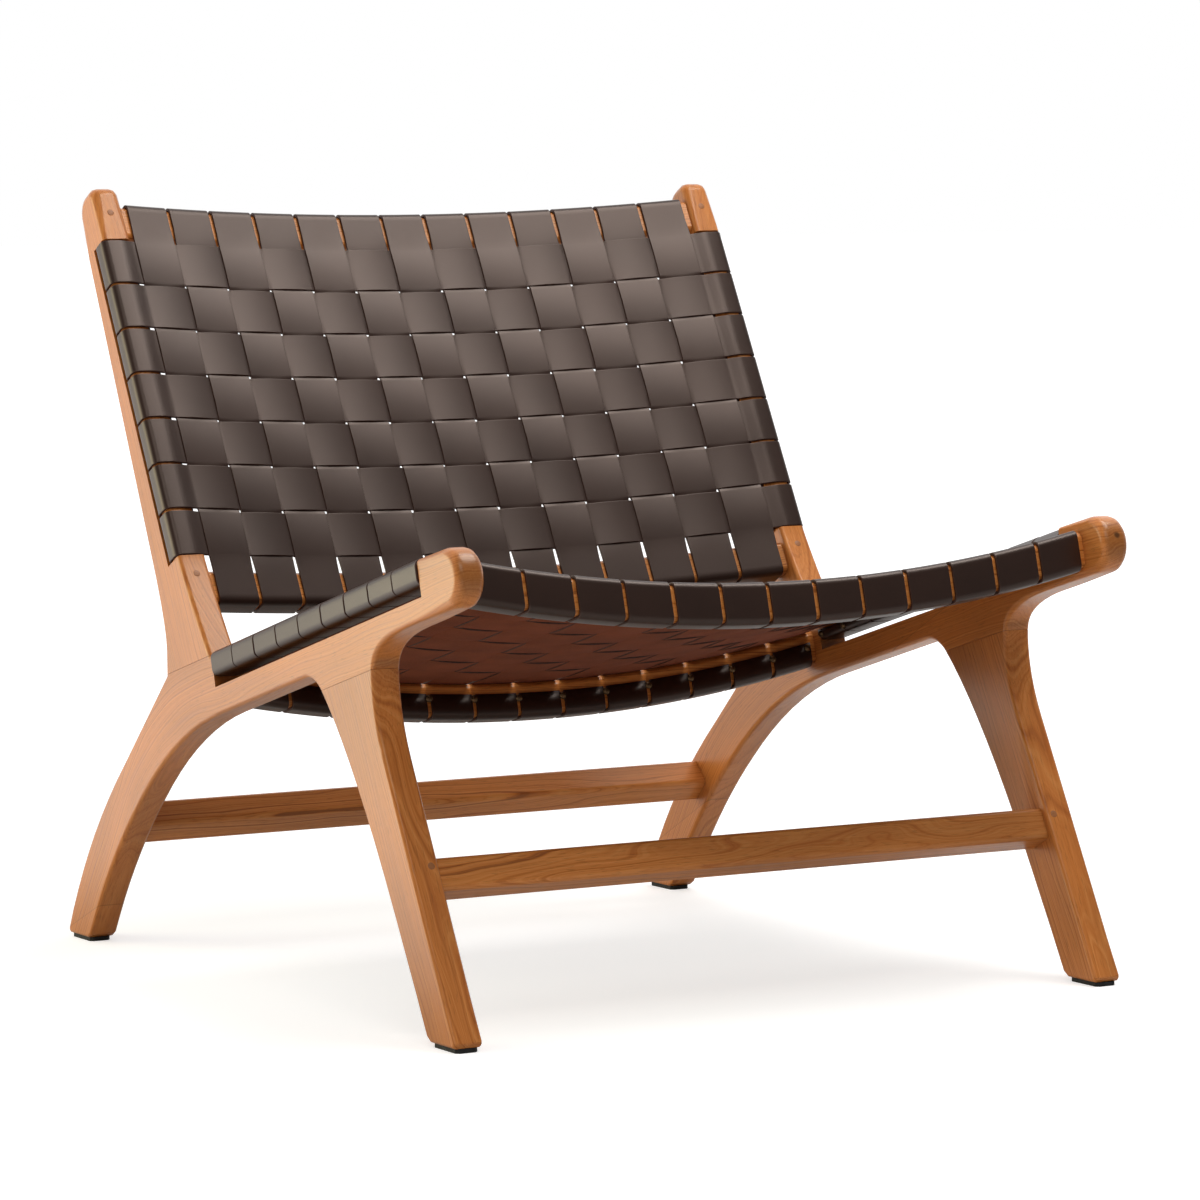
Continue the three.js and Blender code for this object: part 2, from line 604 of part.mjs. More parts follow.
// One side frame, built on the +X side.
function sideFrame() {
  const half = JOINT_GAP / 2;
  const thick = FRAME_TENON_THICKNESS / 2;
  const whole = roundedPrism(sideOutline(), frameEase, INNER, OUTER);
  const above = (n) => box(seat.frame, 0, FAR, -SEAT_START - UPRIGHT_TOE, FAR, n, FAR);
  const legBack = FRONT_LEG_TOP_WIDTH - FRONT_LEG_AT + CROTCH_AIM;
  const legZone = (n) => box(seat.frame, 0, FAR, -FAR, legBack, -FAR, n);

  const uprightTenon = (grow) =>
    box(
      seat.frame,
      MIDDLE - thick - grow,
      MIDDLE + thick + grow,
      UPRIGHT_TENON_FROM - grow,
      UPRIGHT_TENON_FROM + UPRIGHT_TENON_WIDTH + grow,
      -FRAME_TENON_LENGTH - (grow > 0 ? LOOSE_DEPTH : 0),
      4,
    );
  const legTenon = (grow) =>
    box(
      seat.frame,
      MIDDLE - thick - grow,
      MIDDLE + thick + grow,
      -FRONT_TENON_FROM - FRONT_TENON_WIDTH - grow,
      -FRONT_TENON_FROM + grow,
      -FRONT_LEG_JOINT - 4,
      -FRONT_LEG_JOINT + FRAME_TENON_LENGTH + (grow > 0 ? LOOSE_DEPTH : 0),
    );

  let upright = whole.intersect(above(half)).add(uprightTenon(0));
  let leg = whole.intersect(legZone(-FRONT_LEG_JOINT - half)).add(legTenon(0));
  let rail = whole.subtract(above(-half)).subtract(legZone(-FRONT_LEG_JOINT + half));
  rail = rail.subtract(uprightTenon(JOINT_GAP)).subtract(legTenon(JOINT_GAP));

  rail = slotted(rail, seat);
  upright = slotted(upright, back);
  for (const cross of seat.rails) rail = rail.subtract(railTenon(seat, cross, JOINT_GAP, INNER - 1));
  for (const cross of back.rails) {
    upright = upright.subtract(railTenon(back, cross, JOINT_GAP, INNER - 1));
  }
  leg = leg.subtract(stretcherTenon(frontStretcherPlace(), JOINT_GAP, INNER - 1));
  rail = rail.subtract(stretcherTenon(rearStretcherPlace(), JOINT_GAP, INNER - 1));
  leg = leg.subtract(stud(FRONT_FOOT, FRONT_FOOT_BACK, JOINT_GAP, 1));
  rail = rail.subtract(stud(REAR_FOOT_FRONT, REAR_FOOT, JOINT_GAP, 1));
  return { rail, upright, leg };
}

// A strap is a ribbon: its middle line in two dimensions, thickened and given its width.
function ribbon(points) {
  const half = STRAP_THICKNESS / 2;
  const left = [];
  const right = [];
  points.forEach((point, i) => {
    const before = points[Math.max(i - 1, 0)];
    const after = points[Math.min(i + 1, points.length - 1)];
    const into = i > 0 ? point.clone().sub(before).normalize() : after.clone().sub(point).normalize();
    const out = i < points.length - 1 ? after.clone().sub(point).normalize() : into;
    const mid = into.clone().add(out).normalize();
    const side = new THREE.Vector2(-mid.y, mid.x).multiplyScalar(half / mid.dot(into));
    left.push(point.clone().add(side));
    right.push(point.clone().sub(side));
  });
  return new THREE.Shape([...right, ...left.reverse()]);
}

function strapGeometry(points, width) {
  return new THREE.ExtrudeGeometry(ribbon(points), { depth: width, bevelEnabled: false });
}

// Path of a lengthwise strap round one cross rail, from its tail to the rail's outer edge.
function railWrap(panel, rail, outward) {
  const r = (inner, away) => {
    const edge = outward < 0 === inner ? rail.r1 : rail.r0;
    return edge + (inner ? -outward : outward) * DELTA + outward * away;
  };
  const ease = RAIL_EASE + OFFSET_CORNER * DELTA;
  const bottom = -rail.depth - 2 * DELTA;
  const tail = panel.tailBehind
    ? [new THREE.Vector2(r(true, BACK_TAIL_INSET), bottom)]
    : [
        new THREE.Vector2(r(true, 0), -SEAT_TAIL_TOP),
        new THREE.Vector2(r(true, 0), bottom + ease),
        new THREE.Vector2(r(true, ease), bottom),
      ];
  return [
    ...tail,
    new THREE.Vector2(r(false, -ease), bottom),
    new THREE.Vector2(r(false, 0), bottom + ease),
    new THREE.Vector2(r(false, 0), -ease),
    new THREE.Vector2(r(false, -ease), 0),
    new THREE.Vector2(r(true, ease + DELTA), 0),
  ];
}

function lengthwiseStrap(panel, column) {
  const reach = rowWidth(panel) / 2 + LEAD * panel.gap;
  const points = railWrap(panel, panel.rails[0], -1);
  for (let row = 0; row < panel.rows; row += 1) {
    const m = LAYER * over(panel, column, row);
    points.push(new THREE.Vector2(rowR(panel, row) - reach, m));
    points.push(new THREE.Vector2(rowR(panel, row) + reach, m));
  }
  points.push(...railWrap(panel, panel.rails[1], 1).reverse());

  const x = columnX(column);
  const width = COLUMN_PITCH - COLUMN_GAP;
  const tilt = Math.atan(weaveSlope(panel, x));
  const across = new THREE.Vector3(Math.cos(tilt), 0, Math.sin(tilt));
  const outOf = new THREE.Vector3(0, 0, 1);
  const place = new THREE.Matrix4().makeBasis(new THREE.Vector3(0, 1, 0), outOf, across);
  place.setPosition(new THREE.Vector3(x, 0, strapMiddle(panel, x)).addScaledVector(across, -width / 2));
  return strapGeometry(points, width).applyMatrix4(place).applyMatrix4(panel.frame);
}

// Path of a crosswise strap round one slotted bar, on the +X side, from the weave to its tail.
function barWrap(panel, edge) {
  const top = panel.crown - STRAP_THICKNESS / 2;
  const ease = BAR_EASE + OFFSET_CORNER * DELTA;
  const outside = OUTER + STRAP_PROUD - STRAP_THICKNESS / 2;
  const inside = INNER - DELTA;
  const bottom = panel.crown - STRAP_THICKNESS - STRAP_FIT - panel.bar - DELTA;
  const leave = INNER + BAR_EASE_WIDE - DELTA;
  const slope = (top - edge.y) / (leave - edge.x);
  const tail = top - slope * (leave - inside + STRAP_THICKNESS) - STRAP_THICKNESS;
  return [
    new THREE.Vector2(leave, top),
    new THREE.Vector2(outside - ease, top),
    new THREE.Vector2(outside, top - ease),
    new THREE.Vector2(outside, bottom + ease),
    new THREE.Vector2(outside - ease, bottom),
    new THREE.Vector2(inside + ease, bottom),
    new THREE.Vector2(inside, bottom + ease),
    new THREE.Vector2(inside, tail),
  ];
}

function crosswiseStrap(panel, row) {
  const reach = (COLUMN_PITCH - COLUMN_GAP) / 2 + LEAD * COLUMN_GAP;
  const points = [];
  for (let column = 0; column < COLUMNS; column += 1) {
    const x = columnX(column);
    const tilt = Math.atan(weaveSlope(panel, x));
    const along = new THREE.Vector2(Math.cos(tilt), Math.sin(tilt));
    const outOf = new THREE.Vector2(-Math.sin(tilt), Math.cos(tilt));
    const middle = new THREE.Vector2(x, strapMiddle(panel, x));
    middle.addScaledVector(outOf, -LAYER * over(panel, column, row));
    points.push(middle.clone().addScaledVector(along, -reach));
    points.push(middle.clone().addScaledVector(along, reach));
  }
  const rightEnd = barWrap(panel, points[points.length - 1]);
  const flipped = new THREE.Vector2(-points[0].x, points[0].y);
  const leftEnd = barWrap(panel, flipped).map((p) => new THREE.Vector2(-p.x, p.y));
  const width = rowWidth(panel);
  const place = crossways(rowR(panel, row) + width / 2);
  const path = [...leftEnd.reverse(), ...points, ...rightEnd];
  return strapGeometry(path, width).applyMatrix4(place).applyMatrix4(panel.frame);
}

function wovenPanel(panel) {
  const group = new THREE.Group();
  group.name = `${panel.name}_weave`;
  for (let column = 0; column < COLUMNS; column += 1) {
    const label = String(column + 1).padStart(2, "0");
    group.add(named(`${panel.name}_long_strap_${label}`, lengthwiseStrap(panel, column), LEATHER));
  }
  for (let row = 0; row < panel.rows; row += 1) {
    const label = String(row + 1).padStart(2, "0");
    group.add(named(`${panel.name}_cross_strap_${label}`, crosswiseStrap(panel, row), LEATHER));
  }
  return group;
}

const chair = new THREE.Group();
chair.name = "woven_strap_lounge_chair";

const frame = sideFrame();
const frontGlide = glidePad(FRONT_FOOT, FRONT_FOOT_BACK);
const rearGlide = glidePad(REAR_FOOT_FRONT, REAR_FOOT);
for (const side of ["left", "right"]) {
  const place = (solid) => (side === "left" ? solid : solid.mirror([1, 0, 0]));
  const group = new THREE.Group();
  group.name = `${side}_side_frame`;
  group.add(named(`${side}_side_rail`, place(frame.rail), WOOD));
  group.add(named(`${side}_back_upright`, place(frame.upright), WOOD));
  group.add(named(`${side}_front_leg`, place(frame.leg), WOOD));
  group.add(named(`${side}_front_glide`, place(frontGlide), RUBBER));
  group.add(named(`${side}_rear_glide`, place(rearGlide), RUBBER));
  chair.add(group);
}

const cross = new THREE.Group();
cross.name = "cross_members";
cross.add(named("front_seat_rail", bowedRail(seat, seat.rails[0]), WOOD));
cross.add(named("rear_seat_rail", bowedRail(seat, seat.rails[1]), WOOD));
cross.add(named("lower_back_rail", bowedRail(back, back.rails[0]), WOOD));
cross.add(named("top_back_rail", bowedRail(back, back.rails[1]), WOOD));
cross.add(named("front_stretcher", stretcher(frontStretcherPlace()), WOOD));
cross.add(named("rear_stretcher", stretcher(rearStretcherPlace()), WOOD));
chair.add(cross);

chair.add(wovenPanel(seat));
chair.add(wovenPanel(back));

export default chair;
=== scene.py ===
import math
import random
from dataclasses import dataclass

import bmesh
import bpy
import numpy as np
from mathutils import Matrix, Vector
from mathutils.bvhtree import BVHTree


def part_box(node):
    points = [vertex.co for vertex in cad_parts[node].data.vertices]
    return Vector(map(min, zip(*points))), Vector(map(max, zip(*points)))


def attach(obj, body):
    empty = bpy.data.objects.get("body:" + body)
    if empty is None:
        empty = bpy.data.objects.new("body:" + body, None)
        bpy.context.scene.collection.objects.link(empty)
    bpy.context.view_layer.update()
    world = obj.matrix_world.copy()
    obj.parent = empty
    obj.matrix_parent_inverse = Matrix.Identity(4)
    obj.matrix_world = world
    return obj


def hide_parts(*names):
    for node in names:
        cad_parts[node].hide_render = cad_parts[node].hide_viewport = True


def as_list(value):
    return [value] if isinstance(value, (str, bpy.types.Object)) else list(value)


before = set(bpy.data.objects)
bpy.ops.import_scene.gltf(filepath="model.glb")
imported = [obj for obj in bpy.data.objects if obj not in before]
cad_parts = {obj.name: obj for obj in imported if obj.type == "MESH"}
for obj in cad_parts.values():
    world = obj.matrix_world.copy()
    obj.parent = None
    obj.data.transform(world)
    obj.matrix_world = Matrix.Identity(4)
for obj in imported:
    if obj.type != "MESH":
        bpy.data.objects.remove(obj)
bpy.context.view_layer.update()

# Lengths are in millimetres and angles in degrees, unless a comment says otherwise. The chair
# faces -Y. The sizes of the frame and the places of the straps are those of the solids.
MM = 0.001
WIDTH = 660
FRAME_THICKNESS = 27
SEAT_PITCH = 14.8
BACK_LEAN = 28.4
FRONT_LEG_LEAN = 28.1
CROOK_HEIGHT = 287.8  # of the line where the planes of the seat and the back meet
REAR_FOOT_REACH = 314.3  # from that line to the back of the rear feet
GLIDE_INSET = 3.3

STRAP_THICKNESS = 2
STRAP_FIT = 0.3  # room between a strap and the wood
COLUMNS = 13
COLUMN_GAP = 3.5
SIDE_MARGIN = 5.75
RAIL_EASE = 4
BAR_EASE = 4
BAR_EASE_WIDE = 12
SEAT_TAIL_TOP = 12
BACK_TAIL_INSET = 5
STRAP_PROUD = 1.5  # wrapped straps stand this far out of the outer faces

INNER = WIDTH / 2 - FRAME_THICKNESS
OUTER = WIDTH / 2
MIDDLE = (INNER + OUTER) / 2
DELTA = STRAP_FIT + STRAP_THICKNESS / 2
COLUMN_PITCH = (2 * INNER - 2 * SIDE_MARGIN + COLUMN_GAP) / COLUMNS
COLUMN_WIDTH = COLUMN_PITCH - COLUMN_GAP
PITCH = math.radians(SEAT_PITCH)
LEAN = math.radians(BACK_LEAN)
CROOK_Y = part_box("left_rear_glide")[1].y / MM + GLIDE_INSET - REAR_FOOT_REACH

dice = random.Random(7)


def link(obj):
    bpy.context.scene.collection.objects.link(obj)
    return obj


def smoothstep(t):
    t = min(max(t, 0), 1)
    return t * t * (3 - 2 * t)


# Panels


@dataclass
class Rail:
    """A cross member that lengthwise straps go round, from r0 to r1 along the panel."""

    r0: float
    r1: float
    depth: float
    node: str


@dataclass
class Panel:
    """A woven field in its own frame: x across, r along the panel and n out of it."""

    name: str
    turn: float  # in radians
    start: float  # the woven field starts here
    field: float  # and is this long
    rows: int
    gap: float  # between the solids of the crosswise straps
    spread: float  # straps pressed flat are this much wider than their solids
    drop: float  # the weave lies this far under the plane at the sides
    sag: float  # and this much further in the middle
    bar: float  # height of the side bars
    crown: float  # the straps on the bars stand this far out of the plane
    rails: list
    tail_behind: bool
    carriers: list

    @property
    def pitch(self):
        return self.field / self.rows

    @property
    def row_width(self):
        return self.pitch - self.gap + self.spread

    @property
    def column_width(self):
        return COLUMN_WIDTH + self.spread

    def row(self, index):
        return self.start + (index + 0.5) * self.pitch

    def weave(self, x):
        return -STRAP_THICKNESS / 2 - self.drop - self.sag * (1 - (x / INNER) ** 2)

    def slope(self, x):
        return 2 * self.sag * x / INNER**2

    def world(self, points):
        """Points given as (x, r, n) in millimetres, in the frame's metres."""
        points = np.asarray(points, float)
        cos, sin = math.cos(self.turn), math.sin(self.turn)
        x, r, n = points[..., 0], points[..., 1], points[..., 2]
        y = CROOK_Y + r * cos - n * sin
        z = CROOK_HEIGHT + r * sin + n * cos
        return np.stack([x, y, z], -1) * MM


seat = Panel(
    name="seat",
    turn=-PITCH,
    start=-433.4,
    field=414,
    rows=9,
    gap=2.6,
    spread=0.5,
    drop=6,
    sag=32,
    bar=18,
    crown=2.5,
    rails=[
        Rail(-467.4, -445.4, 31.5, "front_seat_rail"),
        Rail(-7.4, 14.6, 31, "rear_seat_rail"),
    ],
    tail_behind=False,
    carriers=["left_side_rail", "right_side_rail"],
)
back = Panel(
    name="back",
    turn=math.pi / 2 - LEAN,
    start=101.7,
    field=322,
    rows=7,
    gap=3.5,
    spread=0.7,
    drop=3,
    sag=26,
    bar=16,
    crown=0,
    rails=[
        Rail(57.7, 89.2, 22, "lower_back_rail"),
        Rail(426.7, 460.7, 22, "top_back_rail"),
    ],
    tail_behind=True,
    carriers=["left_back_upright", "right_back_upright"],
)


def column_x(column):
    return (column - (COLUMNS - 1) / 2) * COLUMN_PITCH


def over(column, row):
    """+1 where the lengthwise strap lies over the crosswise one."""
    return 1 if (column + row) % 2 == 0 else -1


# Straps


@dataclass
class Crimp:
    """How a strap bends at a crossing."""

    lift: float  # its middle lies this far off the weave's middle
    dip: float  # and its parts at the crossing's edges this much less far


@dataclass
class Crossings:
    """The straps that a strap crosses, with +1 in the signs where it lies over them."""

    centres: list
    width: float
    signs: list


@dataclass
class Ring:
    """The outline of a strap's section, point by point."""

    sides: np.ndarray  # off the strap's centre line
    levels: np.ndarray  # up from the middle of its thickness, 1 at the top
    kinds: tuple  # the face of the leather from each point to the next


LEATHER_THICKNESS = 2.5
STRAP_EDGE = 0.2  # rounding of a strap's edges
LONG_CRIMP = Crimp(lift=0.7, dip=0.6)
CROSS_CRIMP = Crimp(lift=1.35, dip=1.15)
CUP = 0.3  # share of the other strap's dip that shows across a strap's width
DIP_POWER = 2
RAIL_NARROW = 0.7  # a strap is drawn in by this much where it goes round a rail
DRIFT = 0.4  # how far a strap lies off its even place
ARC_STEPS = 6
STRAIGHT_TURN = 0.02  # a smaller turn, in radians, gets no arc
CLIMB_STEPS = 8
END_PLACES = 5
RAIL_CLEAR = 1.5  # the woven part keeps this many bends off the rails' outer faces
CELL_SHARES = (-1, -0.94, -0.82, -0.6, -0.3, 0, 0.3, 0.6, 0.82, 0.94, 1)
RING_SHARES = (-1, -0.985, -0.8, -0.45, 0, 0.45, 0.8, 0.985, 1)


def rounded(corners, radius):
    """A line through the corners, with an arc of the radius at each turn."""
    corners = [np.array(c, float) for c in corners]
    line = [corners[0]]
    for before, corner, after in zip(corners, corners[1:], corners[2:]):
        into = (corner - before) / np.linalg.norm(corner - before)
        out = (after - corner) / np.linalg.norm(after - corner)
        turn = math.acos(max(-1, min(1, float(into @ out))))
        if turn < STRAIGHT_TURN:
            line.append(corner)
            continue
        reach = radius * math.tan(turn / 2)
        bend = out - into * float(into @ out)
        bend /= np.linalg.norm(bend)
        for step in range(ARC_STEPS + 1):
            angle = turn * step / ARC_STEPS
            line.append(
                corner
                - into * reach
                + into * radius * math.sin(angle)
                + bend * radius * (1 - math.cos(angle))
            )
    line.append(corners[-1])
    return np.array(line)


def step_lengths(path):
    return np.linalg.norm(np.diff(path, axis=0), axis=1)


def path_normals(path):
    """Unit normals to the left of a line in two dimensions."""
    step = np.gradient(path, axis=0)
    step /= np.linalg.norm(step, axis=1, keepdims=True)
    return np.stack([-step[:, 1], step[:, 0]], -1)


def along_cells(first, last, crossed):
    """Places along a strap: close together at the edges of the straps that it crosses."""
    centres, half = crossed.centres, crossed.width / 2
    places = [centre + share * half for centre in centres for share in CELL_SHARES]
    places += [(a + b) / 2 for a, b in zip(centres, centres[1:])]
    ends = [first, *np.linspace(first, min(places), END_PLACES)[1:-1]]
    ends += [*np.linspace(max(places), last, END_PLACES)[1:-1], last]
    return sorted(places + ends)


def bow(share):
    return abs(share) ** DIP_POWER


def crossing_lift(place, sides, crossed, fade, own, other):
    """How far a strap lies above the weave's middle, at a place along it and off its centre line.

    Within a crossing both straps follow one saddle. Between crossings the strap swaps sides, and
    past the last one it settles on the rail.
    """
    across = CUP * other.dip * bow(np.abs(sides) / np.abs(sides).max())
    nearest = int(np.argmin([abs(place - c) for c in crossed.centres]))
    sign = crossed.signs[nearest]
    share = (place - crossed.centres[nearest]) / (crossed.width / 2)
    if abs(share) <= 1:
        return sign * (own.lift - own.dip * bow(share) + across)
    edge = sign * (own.lift - own.dip + across)
    beyond = (abs(share) - 1) * crossed.width / 2
    neighbour = nearest + (1 if share > 0 else -1)
    if 0 <= neighbour < len(crossed.centres):
        gap = abs(crossed.centres[neighbour] - crossed.centres[nearest]) - crossed.width
        return edge * math.cos(math.pi * beyond / gap)
    return edge * (1 - smoothstep(beyond / fade))


def strap_ring(width):
    half = width / 2
    inside = half - STRAP_EDGE
    flat = 1 - 2 * STRAP_EDGE / LEATHER_THICKNESS
    top = [(share * inside, 1.0, "grain") for share in RING_SHARES]
    right = [(half, flat, "edge"), (half, -flat, "suede")]
    under = [(-share * inside, -1.0, "suede") for share in RING_SHARES]
    left = [(-half, -flat, "edge"), (-half, flat, "grain")]
    sides, levels, kinds = zip(*top, *right, *under, *left)
    return Ring(np.array(sides), np.array(levels), kinds)


def strap_mesh(name, points, ring, along, materials):
    """A closed mesh from rings of points, with the leather's faces told apart."""
    count, size = points.shape[:2]
    faces = []
    slots = []
    order = list(materials)
    for i in range(count - 1):
        for j in range(size):
            k = (j + 1) % size
            faces.append((i * size + j, (i + 1) * size + j, (i + 1) * size + k, i * size + k))
            slots.append(order.index(ring.kinds[j]))
    faces.append(tuple(range(size)))
    faces.append(tuple((count - 1) * size + j for j in reversed(range(size))))
    slots += [order.index("edge")] * 2
    mesh = bpy.data.meshes.new(name)
    mesh.from_pydata(points.reshape(-1, 3).tolist(), [], faces)
    for kind in order:
        mesh.materials.append(materials[kind])
    mesh.polygons.foreach_set("material_index", slots)
    smooth = [True] * (len(faces) - 2) + [False] * 2
    mesh.polygons.foreach_set("use_smooth", smooth)
    grain = mesh.uv_layers.new(name="along_strap")
    corners = np.zeros(len(mesh.loops), np.int32)
    mesh.loops.foreach_get("vertex_index", corners)
    share = ring.sides / np.abs(ring.sides).max()
    place = np.stack([np.tile(share, count), np.repeat(along, size) * MM], -1)
    grain.data.foreach_set("uv", place[corners].ravel())
    mesh.validate()
    return link(bpy.data.objects.new(name, mesh))


def make_strap(panel, node, rings, ring, path, width, rests_on, leather):
    """The piece for a strap's node, from rings of points in the panel's frame."""
    steps = step_lengths(path)
    along = np.concatenate([[0], np.cumsum(steps)])
    strap = strap_mesh(node + "_leather", panel.world(rings), ring, along, leather)
    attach(strap, "root")
    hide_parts(node)
    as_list(rests_on)
    return strap


def lengthwise_path(panel, crossed):
    """From tail to tail round both rails, as (r, h) with h = 0 along the weave."""
    first, last = panel.rails
    out0, in0 = first.r0 - DELTA, first.r1 + DELTA
    out1, in1 = last.r1 + DELTA, last.r0 - DELTA
    low0, low1 = -first.depth - 2 * DELTA, -last.depth - 2 * DELTA
    if panel.tail_behind:
        tail0 = [(in0 - BACK_TAIL_INSET, low0)]
        tail1 = [(in1 + BACK_TAIL_INSET, low1)]
    else:
        tail0 = [(in0, -SEAT_TAIL_TOP), (in0, low0)]
        tail1 = [(in1, low1), (in1, -SEAT_TAIL_TOP)]
    bend = RAIL_EASE + DELTA
    flat = along_cells(out0 + RAIL_CLEAR * bend, out1 - RAIL_CLEAR * bend, crossed)
    corners = [*tail0, (out0, low0), (out0, 0), *[(r, 0) for r in flat]]
    corners += [(out1, 0), (out1, low1), *tail1]
    return rounded(corners, bend)


def lengthwise_strap(panel, column, leather):
    first, last = panel.rails
    rows = range(panel.rows)
    signs = [over(column, row) for row in rows]
    crossed = Crossings([panel.row(row) for row in rows], panel.row_width, signs)
    path = lengthwise_path(panel, crossed)
    x = column_x(column) + dice.uniform(-DRIFT, DRIFT)
    fade = panel.start - first.r1 + panel.gap / 2
    ring = strap_ring(panel.column_width)
    out = ring.levels * LEATHER_THICKNESS / 2
    narrow = (RAIL_NARROW + panel.spread) / panel.column_width
    rings = []
    for (r, h), (normal_r, normal_n) in zip(path, path_normals(path)):
        lift, beyond = 0, fade
        if h == 0:
            lift = crossing_lift(r, ring.sides, crossed, fade, LONG_CRIMP, CROSS_CRIMP)
            beyond = max(panel.start - r, r - panel.start - panel.field)
        across = x + ring.sides * (1 - narrow * smoothstep(beyond / fade))
        n = panel.weave(across) + h + lift + normal_n * out
        rings.append(np.stack([across, r + normal_r * out, n], -1))
    node = f"{panel.name}_long_strap_{column + 1:02d}"
    rests_on = [first.node, last.node]
    return make_strap(panel, node, rings, ring, path, panel.column_width, rests_on, leather)


def bar_path(panel, edge):
    """From the last crossing up on to a side bar, round it and up its inner face."""
    top = panel.crown - STRAP_THICKNESS / 2
    bottom = panel.crown - STRAP_THICKNESS - STRAP_FIT - panel.bar - DELTA
    outside = OUTER + STRAP_PROUD - STRAP_THICKNESS / 2
    inside = INNER - DELTA
    reach = INNER + BAR_EASE_WIDE - edge
    start = panel.weave(edge)
    climb = []
    for step in range(1, CLIMB_STEPS + 1):
        t = step / CLIMB_STEPS
        level = (2 * t**3 - 3 * t**2 + 1) * start + (3 * t**2 - 2 * t**3) * top
        climb.append((edge + t * reach, level + (t**3 - 2 * t**2 + t) * reach * panel.slope(edge)))
    tail = panel.weave(INNER) - 2 * STRAP_THICKNESS
    corners = [*climb, (outside, top), (outside, bottom), (inside, bottom), (inside, tail)]
    return rounded(corners, BAR_EASE + DELTA)


def crosswise_strap(panel, row, leather):
    columns = range(COLUMNS)
    signs = [-over(column, row) for column in columns]
    crossed = Crossings([column_x(column) for column in columns], panel.column_width, signs)
    edge = crossed.centres[-1] + panel.column_width / 2
    places = sorted({round(x, 4) for x in along_cells(-edge, edge, crossed)})
    woven = np.array([(x, panel.weave(x)) for x in places])
    end = bar_path(panel, edge)
    path = np.concatenate([(end * (-1, 1))[::-1], woven, end])
    middle = panel.row(row) + dice.uniform(-DRIFT, DRIFT)
    fade = OUTER - BAR_EASE - DELTA - edge
    low = panel.weave(INNER) - STRAP_THICKNESS
    ring = strap_ring(panel.row_width)
    out = ring.levels * LEATHER_THICKNESS / 2
    rings = []
    for (x, h), (normal_x, normal_n) in zip(path, path_normals(path)):
        lift = 0
        if abs(x) <= edge or h > low:
            lift = crossing_lift(x, ring.sides, crossed, fade, CROSS_CRIMP, LONG_CRIMP)
        n = h + lift + normal_n * out
        rings.append(np.stack([x + normal_x * out, middle - ring.sides, n], -1))
    node = f"{panel.name}_cross_strap_{row + 1:02d}"
    return make_strap(panel, node, rings, ring, path, panel.row_width, panel.carriers, leather)


# Wood

FRAME_EASE = 1.3  # how far the edges of the chamfers are rounded off
CROSS_EASE = 1.5
EASE_ANGLES = (34, 60)  # the edges of a chamfer turn by an angle between these
EASE_SEGMENTS = 3
SAME_POINT = 1e-6  # in metres
SAME_FACE = 0.4
SHARP_ANGLE = 36
FACE_WEIGHT = 80


def eased_copy(node, width, material):
    """A copy of a wooden solid, smooth over its rounded edges, with its chamfers rounded off."""
    shape = bmesh.new()
    shape.from_mesh(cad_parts[node].data)
    bmesh.ops.remove_doubles(shape, verts=shape.verts, dist=SAME_POINT)
    bmesh.ops.dissolve_limit(
        shape, angle_limit=math.radians(SAME_FACE), verts=shape.verts, edges=shape.edges
    )
    low, high = (math.radians(angle) for angle in EASE_ANGLES)
    eased = [
        e
        for e in shape.edges
        if e.is_manifold and e.is_convex and low < e.calc_face_angle() < high
    ]
    bmesh.ops.bevel(
        shape,
        geom=eased,
        offset=width * MM,
        segments=EASE_SEGMENTS,
        profile=0.5,
        affect="EDGES",
        clamp_overlap=False,
    )
    mesh = bpy.data.meshes.new(node + "_wood")
    shape.to_mesh(mesh)
    shape.free()
    mesh.materials.clear()
    mesh.materials.append(material)
    mesh.polygons.foreach_set("use_smooth", [True] * len(mesh.polygons))
    mesh.polygons.foreach_set("material_index", [0] * len(mesh.polygons))
    mesh.set_sharp_from_angle(angle=math.radians(SHARP_ANGLE))
    piece = link(bpy.data.objects.new(node + "_wood", mesh))
    weighted = piece.modifiers.new("even_faces", "WEIGHTED_NORMAL")
    weighted.keep_sharp = True
    weighted.weight = FACE_WEIGHT
    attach(piece, "root")
    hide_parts(node)
    return piece


# Fasteners

DOME_SIDES = 16
DOME_ANGLES = np.linspace(0.35, 1.25, 4)  # in radians, up from the rim
DOME_SHARP_ANGLE = 50
TACK_RADIUS = 3.5
TACK_HEIGHT = 2.0
TACK_SUNK = 0.5
TACK_DROP = 4.5  # a tack's middle under the end of a tail
TACK_MARGIN = 4.5
TACK_HOLD = 18  # a tack finds its strap at most this far off the strap's middle
FIRST_OF_TWO = 1  # a tack between two straps goes by the first of them
BEHIND_BACK = 60  # the lines that find the straps start this far behind the back
BESIDE_RAIL = 12  # or beside a seat rail
BESIDE_BAR = 8  # or beside a bar
PEG_RADIUS = 3.2
PEG_HEIGHT = 0.35
PEG_SUNK = 1.0


def surface_of(piece):
    mesh = piece.data
    return BVHTree.FromPolygons([v.co for v in mesh.vertices], [p.vertices for p in mesh.polygons])


